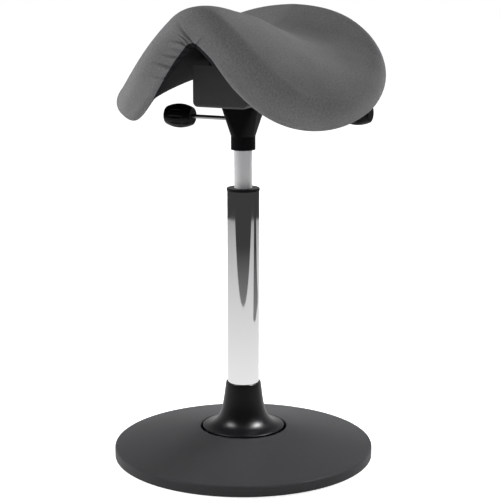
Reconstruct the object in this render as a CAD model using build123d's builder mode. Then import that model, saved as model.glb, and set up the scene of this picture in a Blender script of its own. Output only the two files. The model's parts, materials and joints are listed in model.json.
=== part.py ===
import math
import os

from build123d import *

os.makedirs("parts", exist_ok=True)

# Fits
RUNNING_GAP = 0.05
LOOSE_GAP = 0.3
FACE_GAP = 0.05

# Base disc, standing on z = 0
BASE_DIAMETER = 412
BASE_RIM_HEIGHT = 17
BASE_CROWN_HEIGHT = 46
BASE_OPENING_DIAMETER = 136.4
BASE_WALL = 5
BASE_RIM_LIFT = 1
BASE_RIM_RADIUS = 3
BASE_OPENING_RADIUS = 1.5
FOOT_RING_HEIGHT = 4
FOOT_RING_WIDTH = 14
BALLAST_RIM_GAP = 13
BALLAST_THICKNESS = 10
BALLAST_HOLE_DIAMETER = 92
COVER_BOSS_INSET = 38
COVER_BOSS_DIAMETER = 16
COVER_SCREW_COUNT = 6
COVER_SCREW_DIAMETER = 5
COVER_SCREW_HEAD_DIAMETER = 9
COVER_SCREW_HEAD_HEIGHT = 3
COVER_SCREW_BITE = 7

# Leaning joint between the base and the column
LEAN_PIVOT_HEIGHT = 28
HUB_BALL_RADIUS = 34
HUB_HALF_HEIGHT = 16
FLEX_RING_THICKNESS = 10
FLEX_RING_HALF_HEIGHT = 11
HOUSING_WALL = 8
HOUSING_FLANGE_WIDTH = 22
HOUSING_FLANGE_THICKNESS = 6
HOUSING_BOLT_COUNT = 6
HOUSING_BOLT_DIAMETER = 8
HOUSING_BOLT_HEAD_DIAMETER = 13
HOUSING_BOLT_HEAD_HEIGHT = 6

# Column
TUBE_DIAMETER = 50
TUBE_BORE = 43.2
TUBE_BOTTOM = 10
TUBE_TOP = 428
TUBE_FOOT_DIAMETER = 47.2
TUBE_TAPER_TOP = 60
COLLAR_HEIGHT = 4
COLLAR_DIAMETER = 51.6
BUSH_LENGTH = 90
TRUMPET_TOP = 119
TRUMPET_TOP_DIAMETER = 55.2
TRUMPET_WAIST_DIAMETER = 66
TRUMPET_WAIST_HEIGHT = 84
TRUMPET_FLARE_RADIUS = 37
TRUMPET_FLANGE_DIAMETER = 129.6
TRUMPET_WALL = 2.6
TRUMPET_GRIP_LENGTH = 15

# Gas spring
CYLINDER_DIAMETER = 28
CYLINDER_BORE = 24
CYLINDER_BOTTOM = 108
CYLINDER_TOP_DROP = 37
CYLINDER_TOP_DIAMETER = 26
CYLINDER_TOP_WALL = 10
SEAL_LENGTH = 14
ROD_DIAMETER = 10
ROD_NECK_DIAMETER = 8
ROD_END_DROP = 4
PISTON_BOTTOM = 322
PISTON_LENGTH = 18
PISTON_GROOVE_DEPTH = 2
PISTON_GROOVE_WIDTH = 4
END_DISC_RISE = 2
END_DISC_THICKNESS = 4
CLIP_THICKNESS = 1.4
CLIP_GROOVE_DEPTH = 1
CLIP_DIAMETER = 15
THRUST_WASHER_THICKNESS = 2
THRUST_WASHER_DIAMETER = 24
BALL_DIAMETER = 4
BALL_COUNT = 8
BALL_CIRCLE = 16.4
CAGE_THICKNESS = 1.6
CAGE_MARGIN = 0.6
BUMP_STOP_LENGTH = 14
BUMP_STOP_DIAMETER = 20
VALVE_PIN_DIAMETER = 6
VALVE_PIN_LENGTH = 20
VALVE_HEAD_DIAMETER = 7
VALVE_HEAD_HEIGHT = 4.9
VALVE_HEAD_LIFT = 5

# Console on top of the gas cylinder
CONSOLE_SLEEVE_LENGTH = 21
CONSOLE_FUNNEL_HEIGHT = 49
CONSOLE_SLEEVE_DIAMETER = 38
CONSOLE_TOP_DROP = 18
CONSOLE_TOP_WIDTH = 64
CONSOLE_TOP_DEPTH = 38
CONSOLE_CORNER_RADIUS = 6
CONSOLE_ROOF = 8
CAVITY_BOTTOM_WIDTH = 32
CAVITY_BOTTOM_DEPTH = 18
CAVITY_TOP_WIDTH = 50
CAVITY_TOP_DEPTH = 28
LUG_INNER_SPACING = 44
LUG_THICKNESS = 6
LUG_FRONT = -13
LUG_REAR = 46
LUG_RISE = 17
LUG_REAR_DROP = 8
LUG_CORNER_RADIUS = 10
LUG_ROOT = 1

# Seat tilt axis and clamp; the parts above the gas cylinder are placed from this axis
TILT_HEIGHT = 580
TILT_PIN_DIAMETER = 10
TILT_PIN_OVERHANG = 2.5
PIVOT_BUSH_WALL = 2
PIN_CLIP_THICKNESS = 1
PIN_CLIP_DIAMETER = 16
PIN_CLIP_GROOVE_DEPTH = 1
CLAMP_REACH = 34
CLAMP_SHAFT_DIAMETER = 8
CLAMP_SLOT_HALF_ANGLE = 10
FRICTION_WASHER_THICKNESS = 1.4
PIVOT_WASHER_DIAMETER = 24
CLAMP_WASHER_DIAMETER = 18
CLAMP_NUT_WIDTH = 13
CLAMP_NUT_THICKNESS = 5
CLAMP_SHAFT_TAIL = 0.6
DISC_SPRING_DIAMETER = 16
DISC_SPRING_THICKNESS = 1
DISC_SPRING_RISE = 1
DISC_SPRING_COUNT = 3
SLEEVE_WALL = 1.8
SLEEVE_OUTSTAND = 2.5

# Seat bracket and mounting block
BRACKET_THICKNESS = 4
BRACKET_RISE = 28
BRACKET_FRONT = -52
BRACKET_REAR = 62
FLANGE_HEIGHT = 16
EAR_DROP = 12
EAR_FRONT = -14
EAR_REAR = 46
EAR_RADIUS = 10
BLOCK_FRONT = -49
BLOCK_REAR = 60
BLOCK_SIDE_INSET = 0.5
SEAT_BOLT_SPACING_X = 24
SEAT_BOLT_FRONT = -36
SEAT_BOLT_REAR = 46
SEAT_BOLT_DIAMETER = 6
SEAT_BOLT_HEAD_DIAMETER = 10
SEAT_BOLT_HEAD_HEIGHT = 4
SEAT_BOLT_BITE = 8

# Covers round the mechanism
BOX_WIDTH = 90
BOX_FRONT = -84
BOX_REAR = 84
BOX_SPLIT = 6
BOX_DROP = 16
BOX_FRONT_RISE = 47
BOX_REAR_RISE = 26
BOX_WALL = 2.5
BOX_BOTTOM_RADIUS = 8
BOX_END_RADIUS = 4
BOX_OPENING_WIDTH = 74
BOX_OPENING_FRONT = -32
BOX_OPENING_REAR = 58
BOX_BOSS_DIAMETER = 10
BOX_BOSS_FRONT = -40
BOX_BOSS_REAR = 56
BOX_BOSS_DROP = 8
BOX_SCREW_DIAMETER = 4
BOX_SCREW_HEAD_DIAMETER = 7
BOX_SCREW_HEAD_HEIGHT = 1.8
BOX_TRIM_MARGIN = 1

# Levers and knobs
LEVER_ROD_DIAMETER = 6.5
LEVER_DROP = 23
LEVER_PIVOT_X = 14
LEVER_EYE_DIAMETER = 11
LEVER_EYE_LENGTH = 9
LEVER_PIN_DIAMETER = 4
LEVER_PIN_INSET = 1
LEVER_PIN_FRONT_WALL = 4
LEVER_SLOT_MARGIN = 0.6
LEVER_TRAVEL = 11
KNOB_LENGTH = 46
KNOB_DIAMETER = 38
KNOB_END_DIAMETER = 27
KNOB_EDGE_RADIUS = 3
KNOB_SOCKET_DEPTH = 30
KNOB_FLUTE_COUNT = 12
KNOB_FLUTE_DIAMETER = 6
KNOB_FLUTE_DEPTH = 1.6
HEIGHT_KNOB_CENTRE_X = -110
TILT_KNOB_SIDE = 145.5
TILT_KNOB_DEPTH = 110
TILT_KNOB_DROP = 36
TILT_LEVER_PIVOT_OUTSTAND = 9.5
TILT_LEVER_PIN_DIAMETER = 5
TILT_LEVER_EYE_WIDTH = 6.4
TILT_LEVER_EYE_DIAMETER = 12
TILT_LEVER_CHEEK = 5
TILT_LEVER_BRIDGE = 5
TILT_LEVER_LEAD = 10
TILT_ROD_ROOT = 1
TILT_LEVER_BEND_RADIUS = 9

# Saddle: front at -Y; slope, ridge height above the tilt axis and outline run from front to rear
SADDLE_FRONT = -170.5
SADDLE_REAR = 203
SADDLE_WIDEST = -3
SADDLE_HALF_GIRTH = 212
SADDLE_ROUNDNESS = 2.4
SADDLE_SLOPES = (43.8, 19.4, 1.8)
RIDGE_FRONT_RISE = 77.6
RIDGE_FRONT_PULL = 105.7
RIDGE_REAR_PULL = -25.8
RIDGE_REAR_RISE = 82
FOLD_FRONT_RADIUS = 5.3
FOLD_REAR_RADIUS = 33
FLAP_FRONT_RADIUS = 362
FLAP_REAR_RADIUS = 10000
PAD_THICKNESS = 56.5
PAD_SIDE_TAPER = 10
PAD_TOP_EDGE = 22
PAD_UNDER_EDGE = 5
PAD_UNDER_EDGE_SIDE = 12
PAD_RIM_WIDTH = 16
PAD_POCKET_OVERCUT = 3
SHELL_RECESS = 5
SHELL_THICKNESS = 8
SHELL_EDGE = 1.5
SADDLE_STATIONS = 13
SADDLE_END_CUT = 2.6

# Sizes that follow from the ones above
CONSOLE_TOP = TILT_HEIGHT - CONSOLE_TOP_DROP
CONSOLE_SLEEVE_TOP = CONSOLE_TOP - CONSOLE_FUNNEL_HEIGHT
CONSOLE_BOTTOM = CONSOLE_SLEEVE_TOP - CONSOLE_SLEEVE_LENGTH
CYLINDER_TOP = CONSOLE_TOP - CYLINDER_TOP_DROP
LEVER_HEIGHT = CONSOLE_TOP - LEVER_DROP
LUG_TOP = TILT_HEIGHT + LUG_RISE
LUG_REAR_BOTTOM = TILT_HEIGHT - LUG_REAR_DROP
BRACKET_TOP = TILT_HEIGHT + BRACKET_RISE
FLANGE_BOTTOM = BRACKET_TOP - FLANGE_HEIGHT
EAR_BOTTOM = TILT_HEIGHT - EAR_DROP
BOX_BOTTOM = TILT_HEIGHT - BOX_DROP
BOX_FRONT_TOP = TILT_HEIGHT + BOX_FRONT_RISE
BOX_REAR_TOP = TILT_HEIGHT + BOX_REAR_RISE
TILT_KNOB_CENTRE = (TILT_KNOB_SIDE, TILT_KNOB_DEPTH, TILT_HEIGHT - TILT_KNOB_DROP)
BASE_RADIUS = BASE_DIAMETER / 2
OPENING_RADIUS = BASE_OPENING_DIAMETER / 2
CONE_SLOPE = (BASE_CROWN_HEIGHT - BASE_RIM_HEIGHT) / (BASE_RADIUS - OPENING_RADIUS)
BALLAST_RADIUS = BASE_RADIUS - BASE_WALL - BALLAST_RIM_GAP
COVER_BOSS_CIRCLE = 2 * (BALLAST_RADIUS - COVER_BOSS_INSET)
BALLAST_TOP = FOOT_RING_HEIGHT + BALLAST_THICKNESS
RING_INNER_RADIUS = HUB_BALL_RADIUS + LOOSE_GAP
RING_OUTER_RADIUS = RING_INNER_RADIUS + FLEX_RING_THICKNESS
HOUSING_INNER_RADIUS = RING_OUTER_RADIUS + LOOSE_GAP
HOUSING_RADIUS = HOUSING_INNER_RADIUS + HOUSING_WALL
HOUSING_FLANGE_RADIUS = HOUSING_RADIUS + HOUSING_FLANGE_WIDTH
HOUSING_BOLT_RADIUS = HOUSING_RADIUS + HOUSING_FLANGE_WIDTH / 2
TUBE_RADIUS = TUBE_DIAMETER / 2
TUBE_BORE_RADIUS = TUBE_BORE / 2
COLLAR_TOP = TUBE_TOP + COLLAR_HEIGHT
CYLINDER_RADIUS = CYLINDER_DIAMETER / 2
CYLINDER_BORE_RADIUS = CYLINDER_BORE / 2
ROD_RADIUS = ROD_DIAMETER / 2
NECK_RADIUS = ROD_NECK_DIAMETER / 2
END_DISC_BOTTOM = TUBE_BOTTOM + END_DISC_RISE
END_DISC_TOP = END_DISC_BOTTOM + END_DISC_THICKNESS
LOWER_WASHER_TOP = END_DISC_TOP + THRUST_WASHER_THICKNESS
UPPER_WASHER_BOTTOM = LOWER_WASHER_TOP + BALL_DIAMETER
UPPER_WASHER_TOP = UPPER_WASHER_BOTTOM + THRUST_WASHER_THICKNESS
CLIP_TOP = END_DISC_BOTTOM - RUNNING_GAP
ROD_BOTTOM = CLIP_TOP - CLIP_THICKNESS - ROD_END_DROP / 2
PISTON_TOP = PISTON_BOTTOM + PISTON_LENGTH
VALVE_RADIUS = VALVE_PIN_DIAMETER / 2
VALVE_HEAD_BOTTOM = CYLINDER_TOP + VALVE_HEAD_LIFT
CAVITY_BOTTOM = CYLINDER_TOP
CAVITY_TOP = CONSOLE_TOP - CONSOLE_ROOF
LUG_INNER = LUG_INNER_SPACING / 2
LUG_OUTER = LUG_INNER + LUG_THICKNESS
EAR_INNER = LUG_OUTER + FRICTION_WASHER_THICKNESS + 2 * FACE_GAP
EAR_OUTER = EAR_INNER + BRACKET_THICKNESS
BRACKET_UNDER = BRACKET_TOP - BRACKET_THICKNESS
TILT_PIN_RADIUS = TILT_PIN_DIAMETER / 2
PIVOT_BUSH_BORE = TILT_PIN_RADIUS + RUNNING_GAP
PIVOT_BUSH_RADIUS = PIVOT_BUSH_BORE + PIVOT_BUSH_WALL
PIN_CLIP_INNER = EAR_OUTER + LOOSE_GAP
PIN_END = PIN_CLIP_INNER + PIN_CLIP_THICKNESS + TILT_PIN_OVERHANG
CLAMP_RADIUS = CLAMP_SHAFT_DIAMETER / 2
BOX_OUTER = BOX_WIDTH / 2
BOX_INNER = BOX_OUTER - BOX_WALL
BOX_BOSS_HEIGHT = BRACKET_TOP - BOX_BOSS_DROP
SPRING_STACK = DISC_SPRING_COUNT * (DISC_SPRING_THICKNESS + DISC_SPRING_RISE)
SLEEVE_START = EAR_OUTER + SPRING_STACK
SLEEVE_END = BOX_OUTER + SLEEVE_OUTSTAND
SLEEVE_RADIUS = CLAMP_RADIUS + RUNNING_GAP + SLEEVE_WALL
TILT_LEVER_X = BOX_OUTER + TILT_LEVER_PIVOT_OUTSTAND
ROD_HALF = LEVER_ROD_DIAMETER / 2
LEVER_PIN_RADIUS = LEVER_PIN_DIAMETER / 2


def turned(*corners):
    """Profile in the XZ plane with straight sides, each corner a radius and a height."""
    with BuildSketch(Plane.XZ) as profile:
        with BuildLine():
            Polyline(*corners, close=True)
        make_face()
    return profile.sketch


def ring(inner, outer, bottom, top):
    """Profile of a plain ring."""
    return turned((inner, bottom), (outer, bottom), (outer, top), (inner, top))


def save(builder, name):
    builder.part.label = name
    export_step(builder.part, f"parts/{name}.step")


def cone_height(radius):
    """Height of the base cover's top at a radius."""
    return BASE_CROWN_HEIGHT - (radius - OPENING_RADIUS) * CONE_SLOPE


def across(x, y, z):
    """Plane square to X, with its centre at a point."""
    return Plane(origin=(x, y, z), x_dir=(0, 1, 0), z_dir=(1, 0, 0))


def along_depth(x, y, z):
    """Plane square to Y, with its centre at a point."""
    return Plane(origin=(x, y, z), x_dir=(1, 0, 0), z_dir=(0, -1, 0))


# Base
with BuildPart() as base_cover:
    rim_inside = BASE_RADIUS - BASE_WALL
    revolve(
        turned(
            (BASE_RADIUS, BASE_RIM_LIFT),
            (BASE_RADIUS, BASE_RIM_HEIGHT),
            (OPENING_RADIUS, BASE_CROWN_HEIGHT),
            (OPENING_RADIUS, BASE_CROWN_HEIGHT - BASE_WALL),
            (rim_inside, cone_height(rim_inside) - BASE_WALL),
            (rim_inside, BASE_RIM_LIFT),
        ),
        axis=Axis.Z,
    )
    circles = base_cover.edges().filter_by(GeomType.CIRCLE)
    rim_edge = circles.filter_by_position(Axis.Z, BASE_RIM_HEIGHT, BASE_RIM_HEIGHT)
    fillet(rim_edge, radius=BASE_RIM_RADIUS)
    circles = base_cover.edges().filter_by(GeomType.CIRCLE)
    opening_edge = circles.filter_by_position(Axis.Z, BASE_CROWN_HEIGHT, BASE_CROWN_HEIGHT)
    fillet(opening_edge, radius=BASE_OPENING_RADIUS)
    boss_top = cone_height(COVER_BOSS_CIRCLE / 2 - COVER_BOSS_DIAMETER / 2) - BASE_WALL
    with BuildSketch(Plane.XY.offset(BALLAST_TOP)):
        with PolarLocations(COVER_BOSS_CIRCLE / 2, COVER_SCREW_COUNT):
            Circle(COVER_BOSS_DIAMETER / 2)
    extrude(amount=boss_top - BALLAST_TOP)
    with BuildSketch(Plane.XY.offset(BALLAST_TOP)):
        with PolarLocations(COVER_BOSS_CIRCLE / 2, COVER_SCREW_COUNT):
            Circle(COVER_SCREW_DIAMETER / 2)
    extrude(amount=COVER_SCREW_BITE, mode=Mode.SUBTRACT)
save(base_cover, "base_cover")

with BuildPart() as ballast_plate:
    revolve(
        ring(BALLAST_HOLE_DIAMETER / 2, BALLAST_RADIUS, FOOT_RING_HEIGHT, BALLAST_TOP),
        axis=Axis.Z,
    )
    with BuildSketch(Plane.XY.offset(FOOT_RING_HEIGHT)):
        with PolarLocations(COVER_BOSS_CIRCLE / 2, COVER_SCREW_COUNT):
            Circle(COVER_SCREW_DIAMETER / 2)
        with PolarLocations(HOUSING_BOLT_RADIUS, HOUSING_BOLT_COUNT):
            Circle(HOUSING_BOLT_DIAMETER / 2)
    extrude(amount=BALLAST_THICKNESS, mode=Mode.SUBTRACT)
    with BuildSketch(Plane.XY.offset(FOOT_RING_HEIGHT)):
        with PolarLocations(COVER_BOSS_CIRCLE / 2, COVER_SCREW_COUNT):
            Circle(COVER_SCREW_HEAD_DIAMETER / 2 + LOOSE_GAP)
    extrude(amount=COVER_SCREW_HEAD_HEIGHT, mode=Mode.SUBTRACT)
save(ballast_plate, "ballast_plate")

with BuildPart() as foot_ring:
    foot_outer = BALLAST_RADIUS
    revolve(ring(foot_outer - FOOT_RING_WIDTH, foot_outer, 0, FOOT_RING_HEIGHT), axis=Axis.Z)
save(foot_ring, "foot_ring")

with BuildPart() as cover_screws:
    with BuildSketch(Plane.XY.offset(FOOT_RING_HEIGHT)):
        with PolarLocations(COVER_BOSS_CIRCLE / 2, COVER_SCREW_COUNT):
            Circle(COVER_SCREW_HEAD_DIAMETER / 2)
    extrude(amount=COVER_SCREW_HEAD_HEIGHT)
    with BuildSketch(Plane.XY.offset(FOOT_RING_HEIGHT)):
        with PolarLocations(COVER_BOSS_CIRCLE / 2, COVER_SCREW_COUNT):
            Circle(COVER_SCREW_DIAMETER / 2)
    extrude(amount=BALLAST_THICKNESS + COVER_SCREW_BITE)
save(cover_screws, "cover_screws")

# Leaning joint
with BuildPart() as flex_housing:
    housing_top = LEAN_PIVOT_HEIGHT + FLEX_RING_HALF_HEIGHT
    flange_top = BALLAST_TOP + HOUSING_FLANGE_THICKNESS
    revolve(
        turned(
            (0, BALLAST_TOP),
            (HOUSING_FLANGE_RADIUS, BALLAST_TOP),
            (HOUSING_FLANGE_RADIUS, flange_top),
            (HOUSING_RADIUS, flange_top),
            (HOUSING_RADIUS, housing_top),
            (0, housing_top),
        ),
        axis=Axis.Z,
    )
    with Locations((0, 0, LEAN_PIVOT_HEIGHT)):
        Sphere(HOUSING_INNER_RADIUS, mode=Mode.SUBTRACT)
    with BuildSketch(Plane.XY.offset(BALLAST_TOP)):
        with PolarLocations(HOUSING_BOLT_RADIUS, HOUSING_BOLT_COUNT):
            Circle(HOUSING_BOLT_DIAMETER / 2)
    extrude(amount=HOUSING_FLANGE_THICKNESS, mode=Mode.SUBTRACT)
save(flex_housing, "flex_housing")

with BuildPart() as housing_bolts:
    with BuildSketch(Plane.XY.offset(BALLAST_TOP + HOUSING_FLANGE_THICKNESS)):
        with PolarLocations(HOUSING_BOLT_RADIUS, HOUSING_BOLT_COUNT):
            RegularPolygon(HOUSING_BOLT_HEAD_DIAMETER / 2, 6)
    extrude(amount=HOUSING_BOLT_HEAD_HEIGHT)
    with BuildSketch(Plane.XY.offset(FOOT_RING_HEIGHT)):
        with PolarLocations(HOUSING_BOLT_RADIUS, HOUSING_BOLT_COUNT):
            Circle(HOUSING_BOLT_DIAMETER / 2)
    extrude(amount=BALLAST_THICKNESS + HOUSING_FLANGE_THICKNESS)
save(housing_bolts, "housing_bolts")

with BuildPart() as flex_ring:
    with Locations((0, 0, LEAN_PIVOT_HEIGHT)):
        Sphere(RING_OUTER_RADIUS)
        Cylinder(RING_OUTER_RADIUS, 2 * FLEX_RING_HALF_HEIGHT, mode=Mode.INTERSECT)
        Sphere(RING_INNER_RADIUS, mode=Mode.SUBTRACT)
save(flex_ring, "flex_ring")

TUBE_OUTSIDE = (
    (0, TUBE_BOTTOM),
    (TUBE_FOOT_DIAMETER / 2, TUBE_BOTTOM),
    (TUBE_RADIUS, TUBE_TAPER_TOP),
    (TUBE_RADIUS, TUBE_TOP),
    (0, TUBE_TOP),
)

with BuildPart() as ball_hub:
    with Locations((0, 0, LEAN_PIVOT_HEIGHT)):
        Sphere(HUB_BALL_RADIUS)
        Cylinder(HUB_BALL_RADIUS, 2 * HUB_HALF_HEIGHT, mode=Mode.INTERSECT)
    revolve(turned(*TUBE_OUTSIDE), axis=Axis.Z, mode=Mode.SUBTRACT)
save(ball_hub, "ball_hub")

# Column
with BuildPart() as column_tube:
    revolve(turned(*TUBE_OUTSIDE), axis=Axis.Z)
    revolve(ring(0, TUBE_BORE_RADIUS, TUBE_BOTTOM, TUBE_TOP), axis=Axis.Z, mode=Mode.SUBTRACT)
save(column_tube, "column_tube")

with BuildPart() as trumpet_cover:
    waist = TRUMPET_WAIST_DIAMETER / 2
    flange = TRUMPET_FLANGE_DIAMETER / 2
    flare_centre = (waist + TRUMPET_FLARE_RADIUS, TRUMPET_WAIST_HEIGHT)
    inner_flare = TRUMPET_FLARE_RADIUS + TRUMPET_WALL
    bore = TUBE_RADIUS + RUNNING_GAP
    outer_sweep = math.degrees(math.acos((flare_centre[0] - flange) / TRUMPET_FLARE_RADIUS))
    inner_sweep = math.degrees(math.acos((flare_centre[0] - flange) / inner_flare))
    grip_bottom = TRUMPET_TOP - TRUMPET_GRIP_LENGTH
    with BuildSketch(Plane.XZ):
        with BuildLine():
            Line((bore, TRUMPET_TOP), (TRUMPET_TOP_DIAMETER / 2, TRUMPET_TOP))
            Line((TRUMPET_TOP_DIAMETER / 2, TRUMPET_TOP), (waist, TRUMPET_WAIST_HEIGHT))
            outer_arc = CenterArc(flare_centre, TRUMPET_FLARE_RADIUS, 180, outer_sweep)
            inner_arc = CenterArc(flare_centre, inner_flare, 180, inner_sweep)
            Line(outer_arc @ 1, inner_arc @ 1)
            Line(inner_arc @ 0, (bore, grip_bottom))
            Line((bore, grip_bottom), (bore, TRUMPET_TOP))
        make_face()
    revolve(axis=Axis.Z)
save(trumpet_cover, "trumpet_cover")

with BuildPart() as guide_bush:
    slide_bore = CYLINDER_RADIUS + RUNNING_GAP
    revolve(
        turned(
            (slide_bore, TUBE_TOP - BUSH_LENGTH),
            (TUBE_BORE_RADIUS, TUBE_TOP - BUSH_LENGTH),
            (TUBE_BORE_RADIUS, TUBE_TOP),
            (COLLAR_DIAMETER / 2, TUBE_TOP),
            (COLLAR_DIAMETER / 2, COLLAR_TOP),
            (slide_bore, COLLAR_TOP),
        ),
        axis=Axis.Z,
    )
    collar_circles = guide_bush.edges().filter_by(GeomType.CIRCLE)
    collar_edge = collar_circles.group_by(Axis.Z)[-1].sort_by(SortBy.RADIUS)[-1]
    fillet(collar_edge, radius=COLLAR_HEIGHT / 4)
save(guide_bush, "guide_bush")

with BuildPart() as end_disc:
    neck_bore = NECK_RADIUS + RUNNING_GAP
    revolve(ring(neck_bore, TUBE_BORE_RADIUS, END_DISC_BOTTOM, END_DISC_TOP), axis=Axis.Z)
save(end_disc, "end_disc")

with BuildPart() as lower_washer:
    revolve(
        ring(NECK_RADIUS + RUNNING_GAP, THRUST_WASHER_DIAMETER / 2, END_DISC_TOP, LOWER_WASHER_TOP),
        axis=Axis.Z,
    )
save(lower_washer, "lower_washer")

BALL_HEIGHT = LOWER_WASHER_TOP + BALL_DIAMETER / 2
BALL_RADIUS = BALL_DIAMETER / 2 - FACE_GAP

with BuildPart() as thrust_balls:
    with Locations((0, 0, BALL_HEIGHT)):
        with PolarLocations(BALL_CIRCLE / 2, BALL_COUNT):
            Sphere(BALL_RADIUS)
save(thrust_balls, "thrust_balls")

with BuildPart() as ball_cage:
    cage_half = BALL_DIAMETER / 2 + CAGE_MARGIN
    cage_bottom = BALL_HEIGHT - CAGE_THICKNESS / 2
    revolve(
        ring(
            BALL_CIRCLE / 2 - cage_half,
            BALL_CIRCLE / 2 + cage_half,
            cage_bottom,
            cage_bottom + CAGE_THICKNESS,
        ),
        axis=Axis.Z,
    )
    with BuildSketch(Plane.XY.offset(cage_bottom)):
        with PolarLocations(BALL_CIRCLE / 2, BALL_COUNT):
            Circle(BALL_DIAMETER / 2 + FACE_GAP)
    extrude(amount=CAGE_THICKNESS, mode=Mode.SUBTRACT)
save(ball_cage, "ball_cage")

# Piston rod, turning in the column
with BuildPart() as upper_washer:
    revolve(
        ring(NECK_RADIUS, THRUST_WASHER_DIAMETER / 2, UPPER_WASHER_BOTTOM, UPPER_WASHER_TOP),
        axis=Axis.Z,
    )
save(upper_washer, "upper_washer")

with BuildPart() as piston_rod:
    groove_radius = NECK_RADIUS - CLIP_GROOVE_DEPTH
    revolve(
        turned(
            (0, ROD_BOTTOM),
            (NECK_RADIUS, ROD_BOTTOM),
            (NECK_RADIUS, CLIP_TOP - CLIP_THICKNESS),
            (groove_radius, CLIP_TOP - CLIP_THICKNESS),
            (groove_radius, CLIP_TOP),
            (NECK_RADIUS, CLIP_TOP),
            (NECK_RADIUS, UPPER_WASHER_TOP),
            (ROD_RADIUS, UPPER_WASHER_TOP),
            (ROD_RADIUS, PISTON_BOTTOM),
            (0, PISTON_BOTTOM),
        ),
        axis=Axis.Z,
    )
save(piston_rod, "piston_rod")

with BuildPart() as rod_clip:
    revolve(
        ring(NECK_RADIUS - CLIP_GROOVE_DEPTH, CLIP_DIAMETER / 2, CLIP_TOP - CLIP_THICKNESS, CLIP_TOP),
        axis=Axis.Z,
    )
save(rod_clip, "rod_clip")

with BuildPart() as bump_stop:
    revolve(
        ring(
            ROD_RADIUS,
            BUMP_STOP_DIAMETER / 2,
            UPPER_WASHER_TOP,
            UPPER_WASHER_TOP + BUMP_STOP_LENGTH,
        ),
        axis=Axis.Z,
    )
save(bump_stop, "bump_stop")

PISTON_RADIUS = CYLINDER_BORE_RADIUS - RUNNING_GAP
GROOVE_BOTTOM = PISTON_BOTTOM + (PISTON_LENGTH - PISTON_GROOVE_WIDTH) / 2
SEAL_RING = ring(
    PISTON_RADIUS - PISTON_GROOVE_DEPTH,
    PISTON_RADIUS,
    GROOVE_BOTTOM,
    GROOVE_BOTTOM + PISTON_GROOVE_WIDTH,
)

with BuildPart() as piston:
    revolve(ring(0, PISTON_RADIUS, PISTON_BOTTOM, PISTON_TOP), axis=Axis.Z)
    revolve(SEAL_RING, axis=Axis.Z, mode=Mode.SUBTRACT)
save(piston, "piston")

with BuildPart() as piston_ring:
    revolve(SEAL_RING, axis=Axis.Z)
save(piston_ring, "piston_ring")

# Gas cylinder and its seal and valve
CYLINDER_OUTSIDE = (
    (0, CYLINDER_BOTTOM),
    (CYLINDER_RADIUS, CYLINDER_BOTTOM),
    (CYLINDER_RADIUS, CONSOLE_BOTTOM),
    (CYLINDER_TOP_DIAMETER / 2, CYLINDER_TOP),
    (0, CYLINDER_TOP),
)

with BuildPart() as gas_cylinder:
    revolve(turned(*CYLINDER_OUTSIDE), axis=Axis.Z)
    revolve(
        ring(0, CYLINDER_BORE_RADIUS, CYLINDER_BOTTOM, CYLINDER_TOP - CYLINDER_TOP_WALL),
        axis=Axis.Z,
        mode=Mode.SUBTRACT,
    )
    revolve(
        ring(0, VALVE_RADIUS + RUNNING_GAP, CYLINDER_TOP - CYLINDER_TOP_WALL, CYLINDER_TOP),
        axis=Axis.Z,
        mode=Mode.SUBTRACT,
    )
save(gas_cylinder, "gas_cylinder")

with BuildPart() as rod_seal:
    revolve(
        ring(
            ROD_RADIUS + RUNNING_GAP,
            CYLINDER_BORE_RADIUS,
            CYLINDER_BOTTOM,
            CYLINDER_BOTTOM + SEAL_LENGTH,
        ),
        axis=Axis.Z,
    )
save(rod_seal, "rod_seal")

with BuildPart() as valve_pin:
    revolve(
        turned(
            (0, VALVE_HEAD_BOTTOM - VALVE_PIN_LENGTH),
            (VALVE_RADIUS, VALVE_HEAD_BOTTOM - VALVE_PIN_LENGTH),
            (VALVE_RADIUS, VALVE_HEAD_BOTTOM),
            (VALVE_HEAD_DIAMETER / 2, VALVE_HEAD_BOTTOM),
            (VALVE_HEAD_DIAMETER / 2, VALVE_HEAD_BOTTOM + VALVE_HEAD_HEIGHT),
            (0, VALVE_HEAD_BOTTOM + VALVE_HEAD_HEIGHT),
        ),
        axis=Axis.Z,
    )
save(valve_pin, "valve_pin")

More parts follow.
